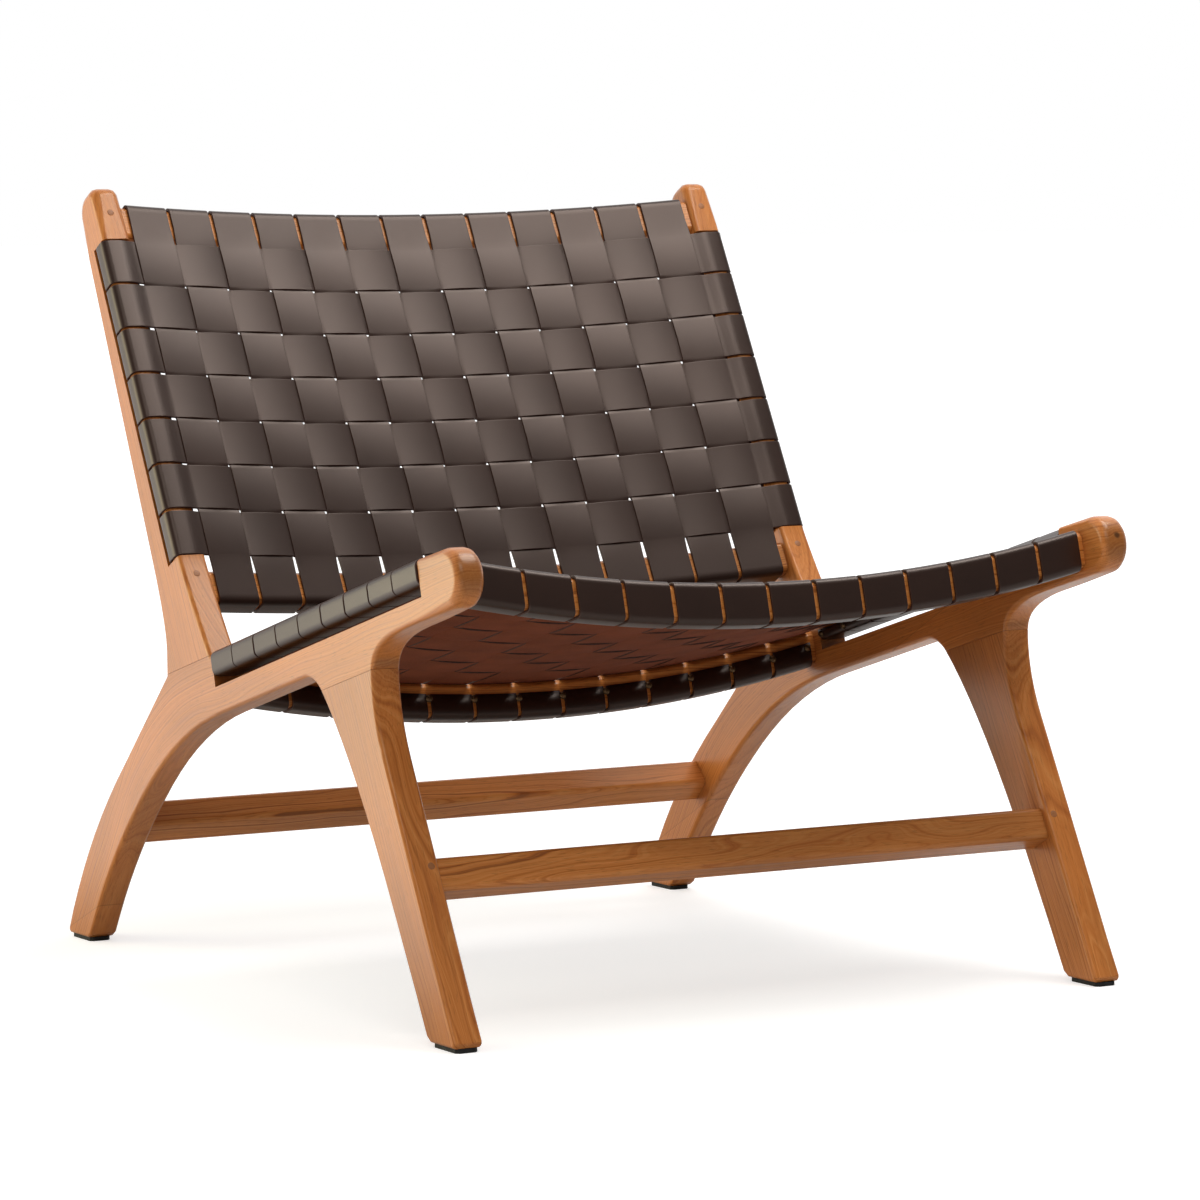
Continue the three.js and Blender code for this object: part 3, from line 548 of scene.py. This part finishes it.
def dome(radius, height, sunk):
    """Points and faces of a domed head with a rounded rim, its foot sunk under z = 0."""
    profile = [(1.0, -sunk), (1.0, 0.0)]
    profile += [(math.cos(a), math.sin(a) * height) for a in DOME_ANGLES]
    points = []
    for share, up in profile:
        for step in range(DOME_SIDES):
            angle = 2 * math.pi * step / DOME_SIDES
            points.append((share * radius * math.cos(angle), share * radius * math.sin(angle), up))
    points.append((0, 0, height))
    top = len(points) - 1
    faces = [tuple(reversed(range(DOME_SIDES)))]
    for i in range(len(profile) - 1):
        for j in range(DOME_SIDES):
            k = (j + 1) % DOME_SIDES
            low, high = i * DOME_SIDES, (i + 1) * DOME_SIDES
            faces.append((low + j, low + k, high + k, high + j))
    last = (len(profile) - 1) * DOME_SIDES
    faces += [(last + j, last + (j + 1) % DOME_SIDES, top) for j in range(DOME_SIDES)]
    return np.array(points) * MM, faces


def heads(name, places, shape, material):
    """One piece made of the same head at several places, each a point and the way it faces."""
    points, faces = shape
    all_points, all_faces = [], []
    for place, facing in places:
        turn = np.array(Vector(facing).to_track_quat("Z", "Y").to_matrix())
        first = len(all_points)
        all_points += (points @ turn.T + np.array(place)).tolist()
        all_faces += [tuple(first + i for i in face) for face in faces]
    mesh = bpy.data.meshes.new(name)
    mesh.from_pydata(all_points, [], all_faces)
    mesh.polygons.foreach_set("use_smooth", [True] * len(mesh.polygons))
    mesh.set_sharp_from_angle(angle=math.radians(DOME_SHARP_ANGLE))
    mesh.materials.append(material)
    piece = link(bpy.data.objects.new(name, mesh))
    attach(piece, "root")
    return piece


def put_on(surface, start, aim):
    """Where a line from the start along the aim meets a surface, and the way that faces."""
    hit, normal, _, _ = surface.ray_cast(Vector(start), Vector(aim).normalized())
    if normal.dot(Vector(aim)) > 0:
        normal = -normal
    return hit, normal


def held_places(count, place, width):
    """Tacks along a row of straps, between neighbours and inside the outer edges.

    Each is its place, the strap that it goes by, and the nearest place well on that strap.
    """
    reach = width / 2 - TACK_MARGIN
    between = [(place(i) + place(i + 1)) / 2 for i in range(count - 1)]
    for at in [place(0) - reach, *between, place(count - 1) + reach]:
        strap = min(range(count), key=lambda i: abs(place(i) + FIRST_OF_TWO - at))
        yield at, strap, min(max(at, place(strap) - TACK_HOLD), place(strap) + TACK_HOLD)


def tack_places(panel, longs, crosses):
    """Tacks over the boundaries between the straps' tails."""
    places = []
    first, last = panel.rails
    origin = panel.world((0, 0, 0))
    along = panel.world((0, 1, 0)) - origin
    out = panel.world((0, 0, 1)) - origin
    if panel.tail_behind:
        inset = BACK_TAIL_INSET + TACK_DROP
        starts = [(first.r1 - inset, -BEHIND_BACK, out), (last.r0 + inset, -BEHIND_BACK, out)]
    else:
        drop = -SEAT_TAIL_TOP - TACK_DROP
        starts = [(first.r1 + BESIDE_RAIL, drop, -along), (last.r0 - BESIDE_RAIL, drop, along)]
    surfaces = [surface_of(strap) for strap in longs]
    for x, column, near in held_places(COLUMNS, column_x, panel.column_width):
        for r, h, aim in starts:
            start = panel.world((near, r, panel.weave(near) + h))
            hit, facing = put_on(surfaces[column], start, aim)
            places.append((hit + Vector(((x - near) * MM, 0, 0)), facing))
    surfaces = [surface_of(strap) for strap in crosses]
    drop = panel.weave(INNER) - 2 * STRAP_THICKNESS - TACK_DROP
    for r, row, near in held_places(panel.rows, panel.row, panel.row_width):
        for side in (-1, 1):
            start = panel.world((side * (INNER - BESIDE_BAR), near, drop))
            hit, facing = put_on(surfaces[row], start, (side, 0, 0))
            places.append((hit + Vector(along * (r - near)), facing))
    return places


# Materials


class Nodes:
    """A node tree under construction."""

    def __init__(self, owner):
        owner.use_nodes = True
        self.tree = owner.node_tree

    def add(self, kind, inputs=None, **settings):
        made = self.tree.nodes.new("ShaderNode" + kind)
        for key, value in settings.items():
            setattr(made, key, value)
        for key, value in (inputs or {}).items():
            self.put(made, key, value)
        return made

    def put(self, target, key, value):
        socket = target.inputs[key]
        if isinstance(value, bpy.types.NodeSocket):
            self.tree.links.new(value, socket)
        else:
            socket.default_value = value

    def math(self, operation, a, b=0.0):
        return self.add("Math", {0: a, 1: b}, operation=operation).outputs[0]

    def times(self, a, b):
        return self.math("MULTIPLY", a, b)

    def plus(self, a, b):
        return self.math("ADD", a, b)

    def minus(self, a, b):
        return self.math("SUBTRACT", a, b)

    def noise(self, vector, scale, detail=2.0, roughness=0.5):
        made = self.add(
            "TexNoise",
            {"Vector": vector, "Scale": scale, "Detail": detail, "Roughness": roughness},
        )
        return made.outputs["Fac"]

    def stretch(self, vector, scale):
        return self.add("Mapping", {"Vector": vector, "Scale": scale}).outputs[0]

    def split(self, vector):
        return self.add("SeparateXYZ", {0: vector}).outputs

    def between(self, value, start, end, low=0.0, high=1.0):
        """The value taken smoothly from a start and end to a low and a high."""
        made = self.add(
            "MapRange",
            {"Value": value, "From Min": start, "From Max": end, "To Min": low, "To Max": high},
            interpolation_type="SMOOTHSTEP",
        )
        return made.outputs[0]

    def ramp(self, value, stops):
        made = self.add("ValToRGB", {"Fac": value})
        ramp = made.color_ramp
        while len(ramp.elements) < len(stops):
            ramp.elements.new(0.5)
        for element, (place, tone) in zip(ramp.elements, stops):
            element.position = place
            element.color = (*tone, 1)
        return made.outputs["Color"]

    def mix(self, share, a, b, blend="MIX"):
        made = self.add("Mix", data_type="RGBA", blend_type=blend)
        self.put(made, 0, share)
        self.put(made, 6, a)
        self.put(made, 7, b)
        return made.outputs[2]


class Shader(Nodes):
    """A material under construction."""

    def __init__(self, name):
        self.material = bpy.data.materials.new(name)
        super().__init__(self.material)
        self.surface = self.tree.nodes["Principled BSDF"]

    def place(self):
        return self.add("TexCoord").outputs["Object"]

    def set(self, **values):
        """Inputs of the surface, by their names with _ for each space."""
        for key, value in values.items():
            self.put(self.surface, key.replace("_", " "), value)

    def bump(self, height, strength, distance):
        made = self.add("Bump", {"Height": height, "Strength": strength, "Distance": distance})
        self.set(Normal=made.outputs[0])


def colour(red, green, blue):
    """A colour as a screen shows it, 0 to 255, as the shaders take it."""

    def linear(value):
        value /= 255
        return value / 12.92 if value <= 0.04045 else ((value + 0.055) / 1.055) ** 2.4

    return (linear(red), linear(green), linear(blue))


LOW, HIGH = 0.3, 0.7  # most values of a noise lie between these

TEAK_DARK = colour(112, 54, 18)
TEAK_BAND = colour(174, 95, 37)
TEAK = colour(197, 117, 53)
TEAK_PALE = colour(212, 138, 72)
CALM = [(0.18, colour(150, 80, 31)), (0.33, TEAK_BAND), (0.48, TEAK), (0.72, TEAK_PALE)]
FIGURED = [(0.28, TEAK_DARK), (0.35, TEAK_BAND), (0.42, TEAK), (0.6, TEAK_PALE)]

# The grain of the teak, in metres.
RING_WAVES = (11, 2.2, 11)  # noise per metre that pushes the rings about
RING_WANDER = 0.055
RING_TAPER = 0.018  # the rings widen by this per metre along the board
RINGS = 130  # bands per metre
FIBRES = (520, 6, 520)
PORES = (1500, 70, 1500)
CLOUDS = (16, 4, 16)
FIBRE_SHARE = 0.35
PORE_RANGE = (0.62, 0.7)
PORE_DEPTH = 0.4  # beside the relief of the fibres
TEAK_ROUGHNESS = (0.34, 0.5)
SEAM_BLEND = 0.0002
GLUE_LINE = (0.0001, 0.0006)
KNOT_EDGE = (0.0022, 0.0048)
KNOT_RAGGED = 0.0015

# How the tone is multiplied.
CLOUD_SHADE = (0.82, 1.1)
PORE_SHADE = 0.72
GLUE_SHADE = 0.75
LOWER_BOARD_SHADE = 1.06
KNOT_SHADE = 0.28
END_FACING = (0.55, 0.95)  # cosines from the side of a board to its end
END_SHADE = 0.6

# The grain follows a bend from the side rails down into the rear legs.
GRAIN_BEND_Y = 11.1
GRAIN_BEND_Z = -84.7
GRAIN_BEND_RADIUS = 350
GRAIN_BEND_END = 54.8


def straight_grain(made, place, turn):
    """Board coordinates whose Y runs along the grain: the object's, turned."""
    return made.add("Mapping", {"Vector": place, "Rotation": turn}).outputs[0]


def upright_grain(made, place):
    return straight_grain(made, place, (LEAN - math.pi / 2, 0, 0))


def leg_grain(made, place):
    return straight_grain(made, place, (math.radians(FRONT_LEG_LEAN) - math.pi / 2, 0, 0))


def cross_grain(made, place):
    return straight_grain(made, place, (0, 0, math.pi / 2))


def bent_grain(made, place):
    """Board coordinates that follow the side rail and bend down into the rear leg."""
    x, y, z = made.split(place)
    dy = made.minus(y, GRAIN_BEND_Y * MM)
    dz = made.minus(z, GRAIN_BEND_Z * MM)
    angle = made.math("MAXIMUM", made.math("ARCTAN2", dy, dz), PITCH)
    angle = made.math("MINIMUM", angle, math.radians(GRAIN_BEND_END))
    sine, cosine = made.math("SINE", angle), made.math("COSINE", angle)
    depth = made.plus(made.times(dy, sine), made.times(dz, cosine))
    along = made.minus(made.times(dy, cosine), made.times(dz, sine))
    along = made.plus(along, made.times(angle, GRAIN_BEND_RADIUS * MM))
    return made.add("CombineXYZ", {0: x, 1: along, 2: depth}).outputs[0]


def growth_bands(made, board, pith):
    """Noise in bands round a pith, which lies along the board at (x, z)."""
    x, y, z = made.split(board)
    side = made.minus(x, pith[0] * MM)
    deep = made.minus(z, pith[1] * MM)
    ring = made.math("SQRT", made.plus(made.times(side, side), made.times(deep, deep)))
    wander = made.noise(made.stretch(board, RING_WAVES), scale=1, detail=3)
    ring = made.plus(ring, made.times(wander, RING_WANDER))
    ring = made.plus(ring, made.times(y, RING_TAPER))
    bands = made.add(
        "TexNoise",
        {"W": made.times(ring, RINGS), "Detail": 3.0, "Roughness": 0.55},
        noise_dimensions="1D",
    )
    return bands.outputs["Fac"]


def seam_shade(made, place, seam):
    """A glue line through two points (y, z), with another board under it."""
    (y0, z0), (y1, z1) = seam
    length = math.hypot(y1 - y0, z1 - z0)
    _, y, z = made.split(place)
    over_y = made.times(y, -(z1 - z0) / length)
    over_z = made.times(z, (y1 - y0) / length)
    level = (y0 * (z1 - z0) - z0 * (y1 - y0)) / length * MM
    apart = made.plus(made.plus(over_y, over_z), level)
    board = made.between(apart, -SEAM_BLEND, SEAM_BLEND, LOWER_BOARD_SHADE, 1.0)
    glue = made.between(made.math("ABSOLUTE", apart), *GLUE_LINE, GLUE_SHADE, 1.0)
    return made.times(board, glue)


def knot_shade(made, place, knot, fibre):
    point = [k * MM for k in knot]
    away = made.add("VectorMath", {0: place, 1: point}, operation="DISTANCE").outputs["Value"]
    ragged = made.plus(away, made.times(fibre, KNOT_RAGGED))
    return made.between(ragged, *KNOT_EDGE, KNOT_SHADE, 1.0)


def end_shade(made, end):
    normal = made.add("NewGeometry").outputs["Normal"]
    facing = made.add("VectorMath", {0: normal, 1: end}, operation="DOT_PRODUCT").outputs["Value"]
    return made.between(facing, *END_FACING, 1.0, END_SHADE)


def wood(name, grain, offset, pith, streaks=CALM, seam=None, knot=None, end=None):
    """Oiled teak: growth rings round a pith, fibres and pores along the grain.

    The streaks are the tones from dark late wood to pale early wood. The offset is in metres. A
    seam is two points (y, z), a knot a point, and the end is the way that the end grain faces.
    """
    made = Shader(name)
    place = made.place()
    board = made.add("Mapping", {"Vector": grain(made, place), "Location": offset}).outputs[0]
    fibre = made.noise(made.stretch(board, FIBRES), scale=1, detail=4, roughness=0.6)
    pores = made.noise(made.stretch(board, PORES), scale=1, detail=1)
    cloud = made.noise(made.stretch(board, CLOUDS), scale=1, detail=2)
    tone = made.ramp(growth_bands(made, board, pith), streaks)
    fibre_tone = made.ramp(fibre, [(LOW, TEAK_BAND), (HIGH, TEAK_PALE)])
    tone = made.mix(FIBRE_SHARE, tone, fibre_tone)
    shade = made.between(cloud, LOW, HIGH, *CLOUD_SHADE)
    if seam:
        shade = made.times(shade, seam_shade(made, place, seam))
    if knot:
        shade = made.times(shade, knot_shade(made, place, knot, fibre))
    if end:
        shade = made.times(shade, end_shade(made, end))
    shade = made.times(shade, made.between(pores, *PORE_RANGE, 1.0, PORE_SHADE))
    dark = made.add("CombineXYZ", {0: shade, 1: shade, 2: shade}).outputs[0]
    made.set(
        Base_Color=made.mix(1.0, tone, dark, "MULTIPLY"),
        Roughness=made.between(fibre, LOW, HIGH, *TEAK_ROUGHNESS),
        Specular_IOR_Level=0.25,
        Specular_Tint=(1.0, 0.85, 0.55, 1),
        Coat_Weight=1.0,
        Coat_IOR=1.3,
        Coat_Roughness=0.25,
    )
    relief = made.minus(fibre, made.times(pores, PORE_DEPTH))
    made.bump(relief, strength=0.1, distance=0.0003)
    return made.material


LEATHER = colour(44, 27, 21)
LEATHER_DARK = colour(37, 22, 17)
LEATHER_EDGE = colour(72, 40, 28)
LEATHER_EDGE_DARK = colour(50, 27, 18)
SUEDE = colour(132, 68, 42)
SUEDE_DARK = colour(112, 56, 34)
NAP = colour(152, 88, 58)
NAP_DARK = colour(80, 40, 26)
NAP_SHARE = 0.25
WORN_EDGE = (0.975, 1.0)  # shares of a strap's half width
WORN_SHARE = 0.3
FINE_RANGE = (0.25, 0.75)
GRAIN_ROUGHNESS = (0.3, 0.38)
EDGE_ROUGHNESS = (0.5, 0.7)


def grain_leather():
    """The dyed, slightly glossy side of the straps, worn at their edges."""
    made = Shader("leather_grain")
    coordinates = made.add("TexCoord").outputs
    place = coordinates["Object"]
    across = made.math("ABSOLUTE", made.split(coordinates["UV"])[0])
    pebble = made.add("TexVoronoi", {"Vector": place, "Scale": 900.0}).outputs["Distance"]
    fine = made.noise(place, scale=1500)
    cloud = made.noise(place, scale=16, detail=3)
    worn = made.between(across, *WORN_EDGE, 0.0, WORN_SHARE)
    tone = made.ramp(cloud, [(LOW, LEATHER_DARK), (HIGH, LEATHER)])
    made.set(
        Base_Color=made.mix(worn, tone, (*LEATHER_EDGE, 1)),
        Roughness=made.between(fine, *FINE_RANGE, *GRAIN_ROUGHNESS),
        Specular_IOR_Level=0.5,
        Specular_Tint=(1.0, 0.82, 0.74, 1),
    )
    made.bump(made.plus(pebble, fine), strength=0.1, distance=0.0002)
    return made.material


def edge_leather():
    """The cut edges of the straps."""
    made = Shader("leather_edge")
    place = made.place()
    cloud = made.noise(place, scale=400)
    fine = made.noise(place, scale=900)
    made.set(
        Base_Color=made.ramp(cloud, [(LOW, LEATHER_EDGE_DARK), (HIGH, LEATHER_EDGE)]),
        Roughness=made.between(fine, LOW, HIGH, *EDGE_ROUGHNESS),
    )
    return made.material


def suede_leather():
    """The undyed flesh side of the straps."""
    made = Shader("leather_suede")
    place = made.place()
    nap = made.noise(place, scale=700, detail=4, roughness=0.7)
    cloud = made.noise(place, scale=30)
    tone = made.ramp(cloud, [(LOW, SUEDE_DARK), (HIGH, SUEDE)])
    napped = made.ramp(nap, [(LOW, NAP_DARK), (HIGH, NAP)])
    made.set(
        Base_Color=made.mix(NAP_SHARE, tone, napped),
        Roughness=0.9,
        Specular_IOR_Level=0.15,
    )
    made.bump(nap, strength=0.3, distance=0.0004)
    return made.material


def speckled(name, dark, light, scale, roughness, metallic=0.0):
    """A plain material with fine specks between two tones and two roughnesses."""
    made = Shader(name)
    speck = made.noise(made.place(), scale, detail=3)
    made.set(
        Base_Color=made.ramp(speck, [(LOW, dark), (HIGH, light)]),
        Roughness=made.between(speck, LOW, HIGH, *roughness),
        Metallic=metallic,
    )
    made.bump(speck, strength=0.1, distance=0.0002)
    return made.material


# The chair

BRONZE_DARK, BRONZE = colour(60, 46, 34), colour(122, 98, 70)
PEG_DARK, PEG = colour(140, 86, 46), colour(176, 112, 62)
RUBBER_DARK, RUBBER = colour(18, 18, 19), colour(30, 30, 32)
SEAMS = {  # (y, z) of the glue lines at the rear feet
    "left": ((284.3, 96.0), (355.6, 59.5)),
    "right": ((344.0, 31.5), (386.8, 14.2)),
}
KNOTS = {"left": (317.2, -399.1, 396.9), "right": None}
SIDES = {"left": (1, 0.0), "right": (-1, 0.37)}  # sign of x, and a shift in the tree in metres
# Boards of the left side frame: x and depth of the pith, and a place in the tree in metres.
RAIL_BOARD = ((310, 190), (0, 0))
UPRIGHT_BOARD = ((390, 200), (0.5, 0))
LEG_BOARD = ((380, 200), (0.9, 0.2))
UPRIGHT_PEGS = (451, 82.6)  # along the back
LEG_PEG = (310.5, -400, 145)  # where the line that finds the leg starts
PEG_START = 30  # above the back
CROSS_MEMBERS = (
    "front_seat_rail",
    "rear_seat_rail",
    "lower_back_rail",
    "top_back_rail",
    "front_stretcher",
    "rear_stretcher",
)
CROSS_OFFSET = (0.1, 0.3, 0.05)  # in metres, from one member's place in the tree to the next
CROSS_PITH = (60, 90)
CROSS_PITH_STEP = (100, 50)


def side_wood(name, grain, board, side, **marks):
    """Teak for a piece of a side frame, its board mirrored and shifted for the right one."""
    (x, depth), place = board
    sign, shift = SIDES[side]
    return wood(name, grain, (shift, *place), (x * sign + shift / MM, depth), **marks)


leather = {"grain": grain_leather(), "edge": edge_leather(), "suede": suede_leather()}
bronze = speckled("antique_bronze", BRONZE_DARK, BRONZE, 900, (0.3, 0.5), 1.0)
for panel in (seat, back):
    longs = [lengthwise_strap(panel, column, leather) for column in range(COLUMNS)]
    crosses = [crosswise_strap(panel, row, leather) for row in range(panel.rows)]
    places = tack_places(panel, longs, crosses)
    heads(f"{panel.name}_tacks", places, dome(TACK_RADIUS, TACK_HEIGHT, TACK_SUNK), bronze)

pegs = []
into_back = back.world((0, 0, -1)) - back.world((0, 0, 0))
forward_end = (0, -math.cos(PITCH), math.sin(PITCH))
for side, (sign, _) in SIDES.items():
    look = side_wood(
        f"{side}_rail_teak",
        bent_grain,
        RAIL_BOARD,
        side,
        seam=SEAMS[side],
        knot=KNOTS[side],
        end=forward_end,
    )
    eased_copy(f"{side}_side_rail", FRAME_EASE, look)
    look = side_wood(f"{side}_upright_teak", upright_grain, UPRIGHT_BOARD, side)
    upright = surface_of(eased_copy(f"{side}_back_upright", FRAME_EASE, look))
    look = side_wood(f"{side}_leg_teak", leg_grain, LEG_BOARD, side)
    leg = surface_of(eased_copy(f"{side}_front_leg", FRAME_EASE, look))
    for r in UPRIGHT_PEGS:
        pegs.append(put_on(upright, back.world((sign * MIDDLE, r, PEG_START)), into_back))
    x, y, z = LEG_PEG
    pegs.append(put_on(leg, (sign * x * MM, y * MM, z * MM), (0, 1, 0)))
    for end in ("front", "rear"):
        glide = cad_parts[f"{side}_{end}_glide"]
        glide.data.materials.clear()
        look = speckled(f"{side}_{end}_rubber", RUBBER_DARK, RUBBER, 500, (0.6, 0.8))
        glide.data.materials.append(look)
peg_look = speckled("peg_end_grain", PEG_DARK, PEG, 1400, (0.4, 0.6))
heads("joint_pegs", pegs, dome(PEG_RADIUS, PEG_HEIGHT, PEG_SUNK), peg_look)

for index, node in enumerate(CROSS_MEMBERS):
    offset = [step * index for step in CROSS_OFFSET]
    pith = [at + step * index for at, step in zip(CROSS_PITH, CROSS_PITH_STEP)]
    look = wood(node + "_teak", cross_grain, offset, pith, FIGURED)
    eased_copy(node, CROSS_EASE, look)

# Camera, fitted to the photograph

CAMERA_PLACE = (-2182.8, -3928.9, 688.9)
CAMERA_AZIMUTH = -29.353
CAMERA_ELEVATION = 4.569
CAMERA_ROLL = -0.604
CAMERA_LENS = 149.2
CAMERA_SENSOR = 36
CAMERA_REACH = 200  # in metres

azimuth = math.radians(CAMERA_AZIMUTH)
elevation = math.radians(CAMERA_ELEVATION)
roll = math.radians(CAMERA_ROLL)
backward = Vector(
    (
        math.sin(azimuth) * math.cos(elevation),
        -math.cos(azimuth) * math.cos(elevation),
        math.sin(elevation),
    )
)
level = Vector((math.cos(azimuth), math.sin(azimuth), 0))
upward = backward.cross(level)
right = level * math.cos(roll) + upward * math.sin(roll)
upward = upward * math.cos(roll) - level * math.sin(roll)
camera_data = bpy.data.cameras.new("camera")
camera_data.sensor_width = CAMERA_SENSOR
camera_data.lens = CAMERA_LENS
camera_data.clip_end = CAMERA_REACH
camera = link(bpy.data.objects.new("camera", camera_data))
turned = Matrix((right, upward, backward)).transposed().to_4x4()
camera.matrix_world = Matrix.Translation(Vector(CAMERA_PLACE) * MM) @ turned
bpy.context.scene.camera = camera

# Studio, in metres: a pale floor that turns white away from the chair, a white backdrop and a dim
# room in front

WHITE = (1, 1, 1, 1)
FLOOR_REACH = 80
FLOOR_TONE = (0.65, 0.65, 0.65, 1)
FLOOR_FADE = (0.5, 3.0)  # the floor turns white over these distances from the chair
FLOOR_NEAR = 0.6
FLOOR_LEFT = (-0.35, -0.7)  # it is mirrored as white from here to the left
FLOOR_BEHIND = (1.0, 2.5)  # and from here to the back
ROOM_LIGHT = 0.2
BACKDROP_LIGHT = 0.85
BACKDROP_EDGE = (-0.3, 0.6)  # from the room to the backdrop, as shares of a direction
LAMPS = {  # power in watts
    "rim": dict(
        place=(-1.6, 1.0, 0.5),
        target=(-0.3, -0.1, 0.3),
        size=(1.2, 1.1),
        power=15,
        tint=(1, 0.96, 0.6),
    ),
    "main": dict(
        place=(0.7, -0.45, 2.4),
        target=(0, 0.1, 0.45),
        size=(1.4, 1.0),
        power=33,
        tint=(1, 0.97, 0.93),
    ),
    "fill": dict(
        place=(-1.2, -2.4, 2.8),
        target=(0, 0, 0.3),
        size=(1.6, 1.6),
        power=25,
        tint=(1, 0.97, 0.9),
    ),
}


def mirrored_rays(made, rays):
    return made.math("MAXIMUM", rays["Is Glossy Ray"], rays["Is Transmission Ray"])


def floor_look():
    made = Shader("pale_floor")
    rays = made.add("LightPath").outputs
    spot = made.place()
    away = made.add("VectorMath", {0: spot}, operation="LENGTH").outputs["Value"]
    x, y, _ = made.split(spot)
    seen = made.times(rays["Is Camera Ray"], made.between(away, *FLOOR_FADE, FLOOR_NEAR, 1.0))
    beside = made.math("MAXIMUM", made.between(x, *FLOOR_LEFT), made.between(y, *FLOOR_BEHIND))
    mirrored = made.times(mirrored_rays(made, rays), beside)
    made.set(
        Base_Color=FLOOR_TONE,
        Roughness=0.9,
        Specular_IOR_Level=0.0,
        Emission_Color=WHITE,
        Emission_Strength=made.plus(seen, mirrored),
    )
    return made.material


floor_mesh = bpy.data.meshes.new("floor")
floor_mesh.from_pydata(
    [
        (-FLOOR_REACH, -FLOOR_REACH, 0),
        (FLOOR_REACH, -FLOOR_REACH, 0),
        (FLOOR_REACH, FLOOR_REACH, 0),
        (-FLOOR_REACH, FLOOR_REACH, 0),
    ],
    [],
    [(0, 1, 2, 3)],
)
floor_mesh.materials.append(floor_look())
floor = link(bpy.data.objects.new("floor", floor_mesh))

world = bpy.data.worlds.new("studio")
bpy.context.scene.world = world
sky = Nodes(world)
rays = sky.add("LightPath").outputs
depth = sky.split(sky.add("TexCoord").outputs["Generated"])[1]
light = sky.between(depth, *BACKDROP_EDGE, ROOM_LIGHT, BACKDROP_LIGHT)
mirrored = sky.times(mirrored_rays(sky, rays), sky.between(depth, *BACKDROP_EDGE))
white = sky.math("MAXIMUM", rays["Is Camera Ray"], mirrored)
strength = sky.add("MapRange", {"Value": white, "To Min": light, "To Max": 1.0}).outputs[0]
background = sky.tree.nodes["Background"]
sky.put(background, "Color", WHITE)
sky.put(background, "Strength", strength)


def softbox(name, place, target, size, power, tint):
    lamp = bpy.data.lights.new(name, "AREA")
    lamp.shape = "RECTANGLE"
    lamp.size, lamp.size_y = size
    lamp.energy = power
    lamp.color = tint
    obj = link(bpy.data.objects.new(name, lamp))
    obj.location = place
    obj.rotation_euler = (Vector(place) - Vector(target)).to_track_quat("Z", "Y").to_euler()
    obj.visible_camera = False


for name, lamp in LAMPS.items():
    softbox(name, **lamp)

bpy.context.scene.view_settings.view_transform = "Standard"
